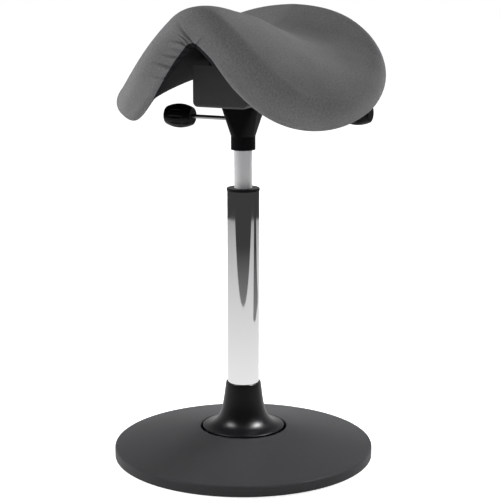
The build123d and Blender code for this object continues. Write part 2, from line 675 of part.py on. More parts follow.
# Console: socket, funnel and the two lugs that carry the tilt pin
with BuildPart() as console:
    sleeve_radius = CONSOLE_SLEEVE_DIAMETER / 2
    revolve(ring(0, sleeve_radius, CONSOLE_BOTTOM, CONSOLE_SLEEVE_TOP), axis=Axis.Z)
    with BuildSketch(Plane.XY.offset(CONSOLE_SLEEVE_TOP)):
        RectangleRounded(CONSOLE_SLEEVE_DIAMETER, CONSOLE_SLEEVE_DIAMETER, sleeve_radius * 0.995)
    with BuildSketch(Plane.XY.offset(CONSOLE_TOP)):
        RectangleRounded(CONSOLE_TOP_WIDTH, CONSOLE_TOP_DEPTH, CONSOLE_CORNER_RADIUS)
    loft()
    for side in (-LUG_OUTER, LUG_INNER):
        with BuildSketch(across(side, 0, 0)):
            with BuildLine():
                Polyline(
                    (LUG_FRONT, CONSOLE_TOP - LUG_ROOT),
                    (LUG_FRONT, LUG_TOP),
                    (LUG_REAR, LUG_TOP),
                    (LUG_REAR, LUG_REAR_BOTTOM),
                    (CONSOLE_TOP_DEPTH / 2, CONSOLE_TOP - LUG_ROOT),
                    close=True,
                )
            lug_face = make_face()
            fillet(lug_face.vertices().group_by(Axis.Y)[-1], radius=LUG_CORNER_RADIUS)
        extrude(amount=LUG_THICKNESS)
    with BuildSketch(across(-LUG_OUTER, 0, TILT_HEIGHT)):
        Circle(TILT_PIN_RADIUS)
        slot_half = CLAMP_RADIUS + RUNNING_GAP
        slot_start = -CLAMP_SLOT_HALF_ANGLE
        with BuildLine():
            far_arc = CenterArc((0, 0), CLAMP_REACH + slot_half, slot_start, 2 * CLAMP_SLOT_HALF_ANGLE)
            near_arc = CenterArc((0, 0), CLAMP_REACH - slot_half, slot_start, 2 * CLAMP_SLOT_HALF_ANGLE)
            Line(near_arc @ 0, far_arc @ 0)
            Line(near_arc @ 1, far_arc @ 1)
        make_face()
        with Locations((near_arc @ 0 + far_arc @ 0) / 2, (near_arc @ 1 + far_arc @ 1) / 2):
            Circle(slot_half)
    extrude(amount=2 * LUG_OUTER, mode=Mode.SUBTRACT)
    revolve(turned(*CYLINDER_OUTSIDE), axis=Axis.Z, mode=Mode.SUBTRACT)
    with BuildSketch(Plane.XY.offset(CAVITY_BOTTOM)):
        Rectangle(CAVITY_BOTTOM_WIDTH, CAVITY_BOTTOM_DEPTH)
    with BuildSketch(Plane.XY.offset(CAVITY_TOP)):
        Rectangle(CAVITY_TOP_WIDTH, CAVITY_TOP_DEPTH)
    loft(mode=Mode.SUBTRACT)
    slot_reach = CONSOLE_TOP_WIDTH / 2
    slot_drop = (slot_reach + LEVER_PIVOT_X) * math.sin(math.radians(LEVER_TRAVEL))
    slot_bottom = LEVER_HEIGHT - ROD_HALF - slot_drop - LEVER_SLOT_MARGIN
    slot_top = LEVER_HEIGHT + ROD_HALF + LEVER_SLOT_MARGIN
    with BuildSketch(across(-slot_reach, 0, 0)):
        with Locations((0, (slot_bottom + slot_top) / 2)):
            Rectangle(2 * (ROD_HALF + LEVER_SLOT_MARGIN), slot_top - slot_bottom)
    extrude(amount=slot_reach - CAVITY_BOTTOM_WIDTH / 4, mode=Mode.SUBTRACT)
    with BuildSketch(along_depth(LEVER_PIVOT_X, CONSOLE_TOP_DEPTH / 2, LEVER_HEIGHT)):
        Circle(LEVER_PIN_RADIUS)
    extrude(amount=CONSOLE_TOP_DEPTH - LEVER_PIN_FRONT_WALL, mode=Mode.SUBTRACT)
save(console, "console")

with BuildPart() as lever_pin:
    pin_rear = CONSOLE_TOP_DEPTH / 2 - LEVER_PIN_INSET
    with BuildSketch(along_depth(LEVER_PIVOT_X, pin_rear, LEVER_HEIGHT)):
        Circle(LEVER_PIN_RADIUS)
    extrude(amount=CONSOLE_TOP_DEPTH - LEVER_PIN_FRONT_WALL - LEVER_PIN_INSET)
save(lever_pin, "lever_pin")

with BuildPart() as tilt_pin:
    with BuildSketch(across(-PIN_END, 0, TILT_HEIGHT)):
        Circle(TILT_PIN_RADIUS)
    extrude(amount=2 * PIN_END)
    for start in (-PIN_CLIP_INNER - PIN_CLIP_THICKNESS, PIN_CLIP_INNER):
        with BuildSketch(across(start, 0, TILT_HEIGHT)):
            Circle(TILT_PIN_RADIUS)
            Circle(TILT_PIN_RADIUS - PIN_CLIP_GROOVE_DEPTH, mode=Mode.SUBTRACT)
        extrude(amount=PIN_CLIP_THICKNESS, mode=Mode.SUBTRACT)
save(tilt_pin, "tilt_pin")

with BuildPart() as pin_clips:
    for start in (-PIN_CLIP_INNER - PIN_CLIP_THICKNESS, PIN_CLIP_INNER):
        with BuildSketch(across(start, 0, TILT_HEIGHT)):
            Circle(PIN_CLIP_DIAMETER / 2)
            Circle(TILT_PIN_RADIUS - PIN_CLIP_GROOVE_DEPTH, mode=Mode.SUBTRACT)
        extrude(amount=PIN_CLIP_THICKNESS)
save(pin_clips, "pin_clips")

# Seat bracket, its bushes and the clamp
with BuildPart() as seat_bracket:
    bracket_length = BRACKET_REAR - BRACKET_FRONT
    with BuildSketch(along_depth(0, BRACKET_FRONT, 0)):
        with Locations((0, (FLANGE_BOTTOM + BRACKET_TOP) / 2)):
            Rectangle(2 * EAR_OUTER, BRACKET_TOP - FLANGE_BOTTOM)
        with Locations((0, (FLANGE_BOTTOM + BRACKET_UNDER) / 2)):
            Rectangle(2 * EAR_INNER, BRACKET_UNDER - FLANGE_BOTTOM, mode=Mode.SUBTRACT)
    extrude(amount=-bracket_length)
    for side in (-EAR_OUTER, EAR_INNER):
        with BuildSketch(across(side, 0, 0)):
            with Locations(((EAR_FRONT + EAR_REAR) / 2, (EAR_BOTTOM + BRACKET_UNDER) / 2)):
                ear_face = Rectangle(EAR_REAR - EAR_FRONT, BRACKET_UNDER - EAR_BOTTOM)
            fillet(ear_face.vertices().group_by(Axis.Y)[0], radius=EAR_RADIUS)
        extrude(amount=BRACKET_THICKNESS)
    with BuildSketch(across(-EAR_OUTER, 0, TILT_HEIGHT)):
        Circle(PIVOT_BUSH_RADIUS)
        with Locations((CLAMP_REACH, 0)):
            Circle(CLAMP_RADIUS)
        for boss_y in (BOX_BOSS_FRONT, BOX_BOSS_REAR):
            with Locations((boss_y, BOX_BOSS_HEIGHT - TILT_HEIGHT)):
                Circle(BOX_SCREW_DIAMETER / 2)
    extrude(amount=2 * EAR_OUTER, mode=Mode.SUBTRACT)
    with BuildSketch(Plane.XY.offset(BRACKET_UNDER)):
        for bolt_y in (SEAT_BOLT_FRONT, SEAT_BOLT_REAR):
            with Locations((-SEAT_BOLT_SPACING_X / 2, bolt_y), (SEAT_BOLT_SPACING_X / 2, bolt_y)):
                Circle(SEAT_BOLT_DIAMETER / 2)
    extrude(amount=BRACKET_THICKNESS, mode=Mode.SUBTRACT)
save(seat_bracket, "seat_bracket")

with BuildPart() as pivot_bushes:
    for side in (-EAR_OUTER, EAR_INNER):
        with BuildSketch(across(side, 0, TILT_HEIGHT)):
            Circle(PIVOT_BUSH_RADIUS)
            Circle(PIVOT_BUSH_BORE, mode=Mode.SUBTRACT)
        extrude(amount=BRACKET_THICKNESS)
save(pivot_bushes, "pivot_bushes")

with BuildPart() as friction_washers:
    for side in (-EAR_INNER + FACE_GAP, LUG_OUTER + FACE_GAP):
        with BuildSketch(across(side, 0, TILT_HEIGHT)):
            Circle(PIVOT_WASHER_DIAMETER / 2)
            Circle(PIVOT_BUSH_BORE, mode=Mode.SUBTRACT)
        with BuildSketch(across(side, CLAMP_REACH, TILT_HEIGHT)):
            Circle(CLAMP_WASHER_DIAMETER / 2)
            Circle(CLAMP_RADIUS, mode=Mode.SUBTRACT)
        extrude(amount=FRICTION_WASHER_THICKNESS)
save(friction_washers, "friction_washers")

with BuildPart() as clamp_shaft:
    shaft_start = -EAR_OUTER - CLAMP_NUT_THICKNESS - CLAMP_SHAFT_TAIL
    eye_radius = TILT_LEVER_EYE_DIAMETER / 2
    with BuildSketch(across(shaft_start, CLAMP_REACH, TILT_HEIGHT)):
        Circle(CLAMP_RADIUS)
    extrude(amount=SLEEVE_END + LOOSE_GAP - shaft_start)
    eye_plane = along_depth(TILT_LEVER_X, CLAMP_REACH + TILT_LEVER_EYE_WIDTH / 2, TILT_HEIGHT)
    with BuildSketch(eye_plane):
        Circle(eye_radius)
        with Locations(((SLEEVE_END + LOOSE_GAP - TILT_LEVER_X) / 2, 0)):
            Rectangle(TILT_LEVER_X - SLEEVE_END - LOOSE_GAP, CLAMP_SHAFT_DIAMETER)
        Circle(TILT_LEVER_PIN_DIAMETER / 2, mode=Mode.SUBTRACT)
    extrude(amount=TILT_LEVER_EYE_WIDTH)
save(clamp_shaft, "clamp_shaft")

with BuildPart() as clamp_nut:
    with BuildSketch(across(-EAR_OUTER - CLAMP_NUT_THICKNESS, CLAMP_REACH, TILT_HEIGHT)):
        RegularPolygon(CLAMP_NUT_WIDTH / 2, 6, major_radius=False)
        Circle(CLAMP_RADIUS, mode=Mode.SUBTRACT)
    extrude(amount=CLAMP_NUT_THICKNESS)
save(clamp_nut, "clamp_nut")

with BuildPart() as disc_springs:
    spring_pitch = DISC_SPRING_THICKNESS + DISC_SPRING_RISE
    spring_bore = CLAMP_RADIUS + RUNNING_GAP
    for index in range(DISC_SPRING_COUNT):
        start = EAR_OUTER + index * spring_pitch
        with BuildSketch(along_depth(start, CLAMP_REACH, TILT_HEIGHT)):
            with BuildLine():
                Polyline(
                    (0, DISC_SPRING_DIAMETER / 2),
                    (DISC_SPRING_THICKNESS, DISC_SPRING_DIAMETER / 2),
                    (spring_pitch, spring_bore),
                    (DISC_SPRING_RISE, spring_bore),
                    close=True,
                )
            make_face()
        revolve(axis=Axis((start, CLAMP_REACH, TILT_HEIGHT), (1, 0, 0)))
save(disc_springs, "disc_springs")

with BuildPart() as pressure_sleeve:
    with BuildSketch(across(SLEEVE_START, CLAMP_REACH, TILT_HEIGHT)):
        Circle(SLEEVE_RADIUS)
        Circle(CLAMP_RADIUS + RUNNING_GAP, mode=Mode.SUBTRACT)
    extrude(amount=SLEEVE_END - SLEEVE_START)
save(pressure_sleeve, "pressure_sleeve")

LEVER_PIN_HALF = TILT_LEVER_EYE_WIDTH / 2 + LOOSE_GAP + TILT_LEVER_CHEEK

with BuildPart() as lever_cross_pin:
    with BuildSketch(along_depth(TILT_LEVER_X, CLAMP_REACH + LEVER_PIN_HALF, TILT_HEIGHT)):
        Circle(TILT_LEVER_PIN_DIAMETER / 2)
    extrude(amount=2 * LEVER_PIN_HALF)
save(lever_cross_pin, "lever_cross_pin")

# Levers
with BuildPart() as height_lever:
    rod_end = HEIGHT_KNOB_CENTRE_X + KNOB_LENGTH / 2 - KNOB_SOCKET_DEPTH
    with BuildSketch(across(rod_end, 0, LEVER_HEIGHT)):
        Circle(ROD_HALF)
    extrude(amount=LEVER_PIVOT_X - rod_end)
    with BuildSketch(along_depth(LEVER_PIVOT_X, LEVER_EYE_LENGTH / 2, LEVER_HEIGHT)):
        Circle(LEVER_EYE_DIAMETER / 2)
    extrude(amount=LEVER_EYE_LENGTH)
    with BuildSketch(along_depth(LEVER_PIVOT_X, LEVER_EYE_LENGTH / 2, LEVER_HEIGHT)):
        Circle(LEVER_PIN_RADIUS + RUNNING_GAP)
    extrude(amount=LEVER_EYE_LENGTH, mode=Mode.SUBTRACT)
save(height_lever, "height_lever")

with BuildPart() as tilt_lever:
    cheek_offset = TILT_LEVER_EYE_WIDTH / 2 + LOOSE_GAP
    bridge_start = TILT_LEVER_X + TILT_LEVER_EYE_DIAMETER / 2 + LOOSE_GAP
    bridge_end = bridge_start + TILT_LEVER_BRIDGE
    cheek_half = TILT_LEVER_EYE_DIAMETER / 2
    knob_x, knob_y, knob_z = TILT_KNOB_CENTRE
    knob_inner = knob_x - KNOB_LENGTH / 2
    with BuildSketch(along_depth(TILT_LEVER_X, CLAMP_REACH + LEVER_PIN_HALF, TILT_HEIGHT)):
        Circle(cheek_half)
        with Locations(((bridge_end - TILT_LEVER_X) / 2, 0)):
            Rectangle(bridge_end - TILT_LEVER_X, 2 * cheek_half)
    extrude(amount=2 * LEVER_PIN_HALF)
    with BuildSketch(along_depth(TILT_LEVER_X, CLAMP_REACH + cheek_offset, TILT_HEIGHT)):
        with Locations(((bridge_start - TILT_LEVER_X) / 2 - cheek_half, 0)):
            Rectangle(bridge_start - TILT_LEVER_X + 2 * cheek_half, 4 * cheek_half)
    extrude(amount=2 * cheek_offset, mode=Mode.SUBTRACT)
    with BuildSketch(along_depth(TILT_LEVER_X, CLAMP_REACH + LEVER_PIN_HALF, TILT_HEIGHT)):
        Circle(TILT_LEVER_PIN_DIAMETER / 2 + RUNNING_GAP)
    extrude(amount=2 * LEVER_PIN_HALF, mode=Mode.SUBTRACT)
    with BuildLine() as tilt_rod_path:
        FilletPolyline(
            (bridge_end - TILT_ROD_ROOT, CLAMP_REACH, TILT_HEIGHT),
            (bridge_end + TILT_LEVER_LEAD, CLAMP_REACH, TILT_HEIGHT),
            (knob_inner - TILT_LEVER_LEAD, knob_y, knob_z),
            (knob_inner + KNOB_SOCKET_DEPTH, knob_y, knob_z),
            radius=TILT_LEVER_BEND_RADIUS,
        )
    with BuildSketch(across(bridge_end - TILT_ROD_ROOT, CLAMP_REACH, TILT_HEIGHT)):
        Circle(ROD_HALF)
    sweep(path=tilt_rod_path.line)
save(tilt_lever, "tilt_lever")


def knob_profile():
    """Half section of a barrel knob, lying along X with its middle at the origin."""
    half = KNOB_LENGTH / 2
    end = KNOB_END_DIAMETER / 2
    with BuildSketch() as profile:
        with BuildLine():
            belly = ThreePointArc((-half, end), (0, KNOB_DIAMETER / 2), (half, end))
            Line(belly @ 1, (half, 0))
            Line((half, 0), (-half, 0))
            Line((-half, 0), belly @ 0)
        knob_face = make_face()
        fillet(knob_face.vertices().group_by(Axis.Y)[-1], radius=KNOB_EDGE_RADIUS)
    return profile.sketch


def knob(centre, socket_side):
    """Fluted barrel knob with a socket for its rod on the side given by a sign."""
    place = Plane(origin=centre)
    flute_radius = KNOB_FLUTE_DIAMETER / 2
    flute_circle = KNOB_DIAMETER / 2 + flute_radius - KNOB_FLUTE_DEPTH
    half = KNOB_LENGTH / 2
    with BuildPart(place) as piece:
        revolve(place * knob_profile(), axis=Axis(centre, (1, 0, 0)))
        with BuildSketch(across(centre[0] - half, centre[1], centre[2])):
            with PolarLocations(flute_circle, KNOB_FLUTE_COUNT):
                Circle(flute_radius)
        extrude(amount=KNOB_LENGTH, mode=Mode.SUBTRACT)
        with BuildSketch(across(centre[0] + socket_side * half, centre[1], centre[2])):
            Circle(ROD_HALF)
        extrude(amount=-socket_side * KNOB_SOCKET_DEPTH, mode=Mode.SUBTRACT)
    return piece


height_knob = knob((HEIGHT_KNOB_CENTRE_X, 0, LEVER_HEIGHT), 1)
save(height_knob, "height_knob")

tilt_knob = knob(TILT_KNOB_CENTRE, -1)
save(tilt_knob, "tilt_knob")


# Covers round the mechanism
def box_section(half_width, bottom, radius):
    """Front view of the cover: upright sides, rounded lower corners, open upwards."""
    with BuildSketch(along_depth(0, 0, 0)) as section:
        with Locations((0, (bottom + BOX_FRONT_TOP) / 2)):
            outline = Rectangle(2 * half_width, BOX_FRONT_TOP - bottom)
        fillet(outline.vertices().group_by(Axis.Y)[0], radius=radius)
    return section.sketch


def box_top(y):
    """Height of the sloping top edge of the covers."""
    share = (y - BOX_FRONT) / (BOX_REAR - BOX_FRONT)
    return BOX_FRONT_TOP + (BOX_REAR_TOP - BOX_FRONT_TOP) * share


def box_cover(outer_end, inner_end, boss_y):
    """One half of the covers, from its closed end to the split, with its two screw bosses."""
    inward = math.copysign(1, BOX_SPLIT - outer_end)
    inside = box_section(BOX_INNER, BOX_BOTTOM + BOX_WALL, BOX_BOTTOM_RADIUS - BOX_WALL)
    with BuildPart() as piece:
        outside = box_section(BOX_OUTER, BOX_BOTTOM, BOX_BOTTOM_RADIUS)
        extrude(outside.moved(Location((0, outer_end, 0))), amount=outer_end - inner_end)
        end_edges = piece.faces().sort_by(Axis.Y)[0 if inward > 0 else -1].edges()
        fillet(end_edges.filter_by(Axis.Z), radius=BOX_END_RADIUS)
        hollow_end = outer_end + inward * BOX_WALL
        extrude(
            inside.moved(Location((0, hollow_end, 0))),
            amount=hollow_end - inner_end,
            mode=Mode.SUBTRACT,
        )
        with BuildSketch(across(-BOX_OUTER, 0, 0)):
            with BuildLine():
                Polyline(
                    (BOX_FRONT, box_top(BOX_FRONT)),
                    (BOX_REAR, box_top(BOX_REAR)),
                    (BOX_REAR, BOX_FRONT_TOP + BOX_TRIM_MARGIN),
                    (BOX_FRONT, BOX_FRONT_TOP + BOX_TRIM_MARGIN),
                    close=True,
                )
            make_face()
        extrude(amount=BOX_WIDTH, mode=Mode.SUBTRACT)
        opening_length = BOX_OPENING_REAR - BOX_OPENING_FRONT
        with BuildSketch(Plane.XY.offset(BOX_BOTTOM)):
            with Locations((0, (BOX_OPENING_FRONT + BOX_OPENING_REAR) / 2)):
                Rectangle(BOX_OPENING_WIDTH, opening_length)
        extrude(amount=BOX_WALL, mode=Mode.SUBTRACT)
        for start in (-BOX_INNER - BOX_WALL / 2, EAR_OUTER):
            with BuildSketch(across(start, boss_y, BOX_BOSS_HEIGHT)):
                Circle(BOX_BOSS_DIAMETER / 2)
            extrude(amount=BOX_INNER - EAR_OUTER + BOX_WALL / 2)
        with BuildSketch(across(-BOX_OUTER, boss_y, BOX_BOSS_HEIGHT)):
            Circle(BOX_SCREW_DIAMETER / 2)
        extrude(amount=BOX_WIDTH, mode=Mode.SUBTRACT)
        with BuildSketch(across(BOX_INNER, CLAMP_REACH, TILT_HEIGHT)):
            Circle(SLEEVE_RADIUS + LOOSE_GAP)
        extrude(amount=BOX_WALL, mode=Mode.SUBTRACT)
    return piece


front_cover = box_cover(BOX_FRONT, BOX_SPLIT, BOX_BOSS_FRONT)
save(front_cover, "front_cover")

rear_cover = box_cover(BOX_REAR, BOX_SPLIT, BOX_BOSS_REAR)
save(rear_cover, "rear_cover")

with BuildPart() as box_screws:
    for boss_y in (BOX_BOSS_FRONT, BOX_BOSS_REAR):
        for side in (-1, 1):
            with BuildSketch(across(side * EAR_INNER, boss_y, BOX_BOSS_HEIGHT)):
                Circle(BOX_SCREW_DIAMETER / 2)
            extrude(amount=side * (BOX_OUTER - EAR_INNER))
            with BuildSketch(across(side * BOX_OUTER, boss_y, BOX_BOSS_HEIGHT)):
                Circle(BOX_SCREW_HEAD_DIAMETER / 2)
            extrude(amount=side * BOX_SCREW_HEAD_HEIGHT)
save(box_screws, "box_screws")


# Saddle
def saddle_share(y):
    return (y - SADDLE_FRONT) / (SADDLE_REAR - SADDLE_FRONT)


def saddle_slope(y):
    """Slope of the flaps in degrees: a quadratic curve on three control values."""
    t = saddle_share(y)
    front, middle, rear = SADDLE_SLOPES
    return front * (1 - t) ** 2 + 2 * middle * t * (1 - t) + rear * t**2


def saddle_ridge(y):
    """Height of the underside along the ridge: a cubic curve on four control values."""
    t = saddle_share(y)
    front = RIDGE_FRONT_RISE * (1 - t) ** 3 + 3 * RIDGE_FRONT_PULL * t * (1 - t) ** 2
    rear = 3 * RIDGE_REAR_PULL * t**2 * (1 - t) + RIDGE_REAR_RISE * t**3
    return TILT_HEIGHT + front + rear


def fold_radius(y):
    """Radius of the underside over the ridge, growing evenly to the rear."""
    return FOLD_FRONT_RADIUS + (FOLD_REAR_RADIUS - FOLD_FRONT_RADIUS) * saddle_share(y)


def flap_radius(y):
    """Radius of the flaps' downward curl, whose curvature fades to the rear."""
    t = saddle_share(y)
    return 1 / ((1 - t) ** 2 / FLAP_FRONT_RADIUS + t**2 / FLAP_REAR_RADIUS)


def saddle_ends(inset):
    return SADDLE_FRONT + inset, SADDLE_REAR - inset


def saddle_girth(y, inset):
    """Length of a flap from ridge to edge along the surface: a rounded oval outline."""
    front, rear = saddle_ends(inset)
    reach = SADDLE_WIDEST - front if y < SADDLE_WIDEST else rear - SADDLE_WIDEST
    offset = abs(y - SADDLE_WIDEST) / reach
    half = SADDLE_HALF_GIRTH - inset
    return half * (1 - offset**SADDLE_ROUNDNESS) ** (1 / SADDLE_ROUNDNESS)


def end_drop(y, inset, radius):
    """How far an edge of the given radius has rounded off near the front and rear ends."""
    front, rear = saddle_ends(inset)
    distance = min(y - front, rear - y)
    return radius - math.sqrt(radius**2 - max(radius - distance, 0) ** 2)


def saddle_section(y, inset, under, over, under_edge, over_edge, side_taper):
    """Cross-section between two offsets from the underside, made of arcs and two short lines."""
    slope = math.radians(saddle_slope(y))
    girth = saddle_girth(y, inset)
    low = under + end_drop(y, inset, under_edge)
    high = over - end_drop(y, inset, over_edge)
    thinning = (high - low) / (over - under)
    under_edge = under_edge * thinning
    over_edge = over_edge * thinning
    taper = side_taper * thinning * (girth / SADDLE_HALF_GIRTH) ** 2
    fold_end = fold_radius(y) * slope
    fold_centre = saddle_ridge(y) - fold_radius(y)
    inward = fold_radius(y) - flap_radius(y)
    bend = math.sqrt(0.5)

    def on_flap(s, n):
        turn = slope + (s - fold_end) / flap_radius(y)
        x = inward * math.sin(slope) + (flap_radius(y) + n) * math.sin(turn)
        z = fold_centre + inward * math.cos(slope) + (flap_radius(y) + n) * math.cos(turn)
        return x, z

    def fold_arc(n):
        start = 90 - math.degrees(slope)
        CenterArc((0, fold_centre), fold_radius(y) + n, start, math.degrees(slope))

    with BuildSketch(along_depth(0, y, 0)) as section:
        with BuildLine():
            fold_arc(low)
            ThreePointArc(
                on_flap(fold_end, low),
                on_flap((fold_end + girth - under_edge) / 2, low),
                on_flap(girth - under_edge, low),
            )
            ThreePointArc(
                on_flap(girth - under_edge, low),
                on_flap(girth - under_edge * (1 - bend), low + under_edge * (1 - bend)),
                on_flap(girth, low + under_edge),
            )
            Line(on_flap(girth, low + under_edge), on_flap(girth, high - taper - over_edge))
            ThreePointArc(
                on_flap(girth, high - taper - over_edge),
                on_flap(girth - over_edge * (1 - bend), high - taper - over_edge * (1 - bend)),
                on_flap(girth - over_edge, high - taper),
            )
            ThreePointArc(
                on_flap(girth - over_edge, high - taper),
                on_flap((girth - over_edge + fold_end) / 2, high - taper / 4),
                on_flap(fold_end, high),
            )
            fold_arc(high)
            mirror(about=Plane.YZ)
        make_face()
    return section.sketch


def saddle_stations(inset):
    """Stations from front to rear, closer together towards the rounded ends."""
    front, rear = saddle_ends(inset + SADDLE_END_CUT)
    for index in range(SADDLE_STATIONS):
        offset = -math.cos(math.pi * index / (SADDLE_STATIONS - 1))
        yield SADDLE_WIDEST + offset * (SADDLE_WIDEST - front if offset < 0 else rear - SADDLE_WIDEST)


def pad_under_edge(y):
    """Radius of the pad's lower edge, which is rounder at the sides than at the ends."""
    fullness = saddle_girth(y, 0) / SADDLE_HALF_GIRTH
    return PAD_UNDER_EDGE + (PAD_UNDER_EDGE_SIDE - PAD_UNDER_EDGE) * fullness**3


def saddle_layer(inset, under, over, edge):
    """Sections of a layer of even thickness, such as the shell or its pocket."""
    return [
        saddle_section(y, inset, under, over, edge, edge, 0) for y in saddle_stations(inset)
    ]


SHELL_TOP = SHELL_RECESS + SHELL_THICKNESS

with BuildPart() as seat_pad:
    loft(
        [
            saddle_section(y, 0, 0, PAD_THICKNESS, pad_under_edge(y), PAD_TOP_EDGE, PAD_SIDE_TAPER)
            for y in saddle_stations(0)
        ]
    )
    loft(
        saddle_layer(PAD_RIM_WIDTH, -PAD_POCKET_OVERCUT, SHELL_TOP + LOOSE_GAP, SHELL_EDGE),
        mode=Mode.SUBTRACT,
    )
save(seat_pad, "seat_pad")

with BuildPart() as seat_shell:
    loft(saddle_layer(PAD_RIM_WIDTH + LOOSE_GAP, SHELL_RECESS, SHELL_TOP, SHELL_EDGE))
save(seat_shell, "seat_shell")

with BuildPart() as mounting_block:
    block_half = EAR_OUTER - BLOCK_SIDE_INSET
    block_top = saddle_ridge(BLOCK_FRONT) + SHELL_TOP
    with BuildSketch(Plane.XY.offset(BRACKET_TOP)):
        with Locations((0, (BLOCK_FRONT + BLOCK_REAR) / 2)):
            Rectangle(2 * block_half, BLOCK_REAR - BLOCK_FRONT)
    extrude(amount=block_top - BRACKET_TOP)
    loft(
        saddle_layer(
            PAD_RIM_WIDTH + LOOSE_GAP,
            SHELL_RECESS - FACE_GAP,
            SHELL_TOP + block_top - BRACKET_TOP,
            SHELL_EDGE,
        ),
        mode=Mode.SUBTRACT,
    )
    with BuildSketch(Plane.XY.offset(BRACKET_TOP)):
        for bolt_y in (SEAT_BOLT_FRONT, SEAT_BOLT_REAR):
            with Locations((-SEAT_BOLT_SPACING_X / 2, bolt_y), (SEAT_BOLT_SPACING_X / 2, bolt_y)):
                Circle(SEAT_BOLT_DIAMETER / 2)
    extrude(amount=SEAT_BOLT_BITE, mode=Mode.SUBTRACT)
save(mounting_block, "mounting_block")

with BuildPart() as seat_bolts:
    for bolt_y in (SEAT_BOLT_FRONT, SEAT_BOLT_REAR):
        for bolt_x in (-SEAT_BOLT_SPACING_X / 2, SEAT_BOLT_SPACING_X / 2):
            with BuildSketch(Plane.XY.offset(BRACKET_UNDER - SEAT_BOLT_HEAD_HEIGHT)):
                with Locations((bolt_x, bolt_y)):
                    RegularPolygon(SEAT_BOLT_HEAD_DIAMETER / 2, 6)
            extrude(amount=SEAT_BOLT_HEAD_HEIGHT)
            with BuildSketch(Plane.XY.offset(BRACKET_UNDER)):
                with Locations((bolt_x, bolt_y)):
                    Circle(SEAT_BOLT_DIAMETER / 2)
            extrude(amount=BRACKET_THICKNESS + SEAT_BOLT_BITE)
save(seat_bolts, "seat_bolts")
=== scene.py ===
import json
import math

import bpy
import numpy as np
from bpy.props import FloatProperty, FloatVectorProperty, IntProperty, PointerProperty
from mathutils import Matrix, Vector


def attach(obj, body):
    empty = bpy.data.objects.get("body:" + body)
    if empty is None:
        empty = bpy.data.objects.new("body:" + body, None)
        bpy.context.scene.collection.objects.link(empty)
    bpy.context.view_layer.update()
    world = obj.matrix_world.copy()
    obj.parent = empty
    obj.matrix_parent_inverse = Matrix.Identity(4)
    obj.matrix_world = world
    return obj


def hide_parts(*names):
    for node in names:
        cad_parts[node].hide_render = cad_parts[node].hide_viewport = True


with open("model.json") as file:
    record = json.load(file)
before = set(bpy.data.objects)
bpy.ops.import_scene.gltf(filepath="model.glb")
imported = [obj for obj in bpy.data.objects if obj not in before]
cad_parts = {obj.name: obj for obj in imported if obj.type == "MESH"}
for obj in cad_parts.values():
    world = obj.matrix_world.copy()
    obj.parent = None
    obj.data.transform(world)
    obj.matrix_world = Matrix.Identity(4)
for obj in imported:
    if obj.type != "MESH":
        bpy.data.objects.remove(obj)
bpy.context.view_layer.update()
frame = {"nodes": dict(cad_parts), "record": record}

MM = 0.001
FINISH_NAME = "chair_"
PAD_UNDER_RING = 15
# The cover is painted dark as shade under the rim: the ring it starts from, how much further under at the
# sides, how softly
UNDER_SHADE_FROM, UNDER_SHADE_OVER, UNDER_SHADE_RINGS = 0.15, 0.65, 4
UNDER_SHADE_STEP = 0.2
RIM_FLAT = 3 * MM
ASKEW_WIDTH = 30 * MM
VALLEY_AT, VALLEY_LENGTH, VALLEY_WIDTH = 12 * MM, 58 * MM, 80 * MM
SWELL_FRAMES = 20
CREASE_WIDTH, CREASE_BEND, CREASE_FADE = 3.4 * MM, 9 * MM, 34 * MM
PUCKER_WIDTH = 3.2 * MM
# Each pucker's place along the rim from the front, share of the depth, reach up the wall and lean
PUCKERS = (
    (-0.019, 0.9, 0.023, -0.55),
    (-0.041, 1.0, 0.025, -0.70),
    (-0.056, 0.5, 0.020, -0.50),
    (-0.069, 0.8, 0.024, -0.60),
    (-0.088, 0.9, 0.026, -0.45),
    (-0.110, 0.5, 0.022, -0.40),
    (0.024, 0.35, 0.020, 0.40),
)
LATHE_SEGMENTS = 128
FLOOR_REACH = 12.0
DARK_STRIP = (-0.2, 0.6)
LAMP_SIZE = 1.2
LAMP_AIM = (0, 0, 0.4)
KEY_AT = (-2.25, -0.50, 1.15)
RIM_AT = (0.78, 2.16, 1.28)
LEFT_GLINT = (-0.471, -0.397, 0.788)
RIGHT_GLINT = (0.594, 0.161, 0.788)
GLINT_POWER = 80

bl_info = {
    "name": "Active chair",
    "version": (1, 0, 0),
    "blender": (4, 5, 0),
    "location": "View3D > Sidebar > Active chair",
    "description": "Dresses a saddle chair: padded seat, column, covers, levers and their finishes",
    "category": "Object",
}


def length(name, description, default):
    return FloatProperty(name=name, description=description, default=default, unit="LENGTH", precision=4)


def colour(name, description, default):
    return FloatVectorProperty(
        name=name, description=description, default=default, size=3, subtype="COLOR", min=0.0, max=1.0
    )


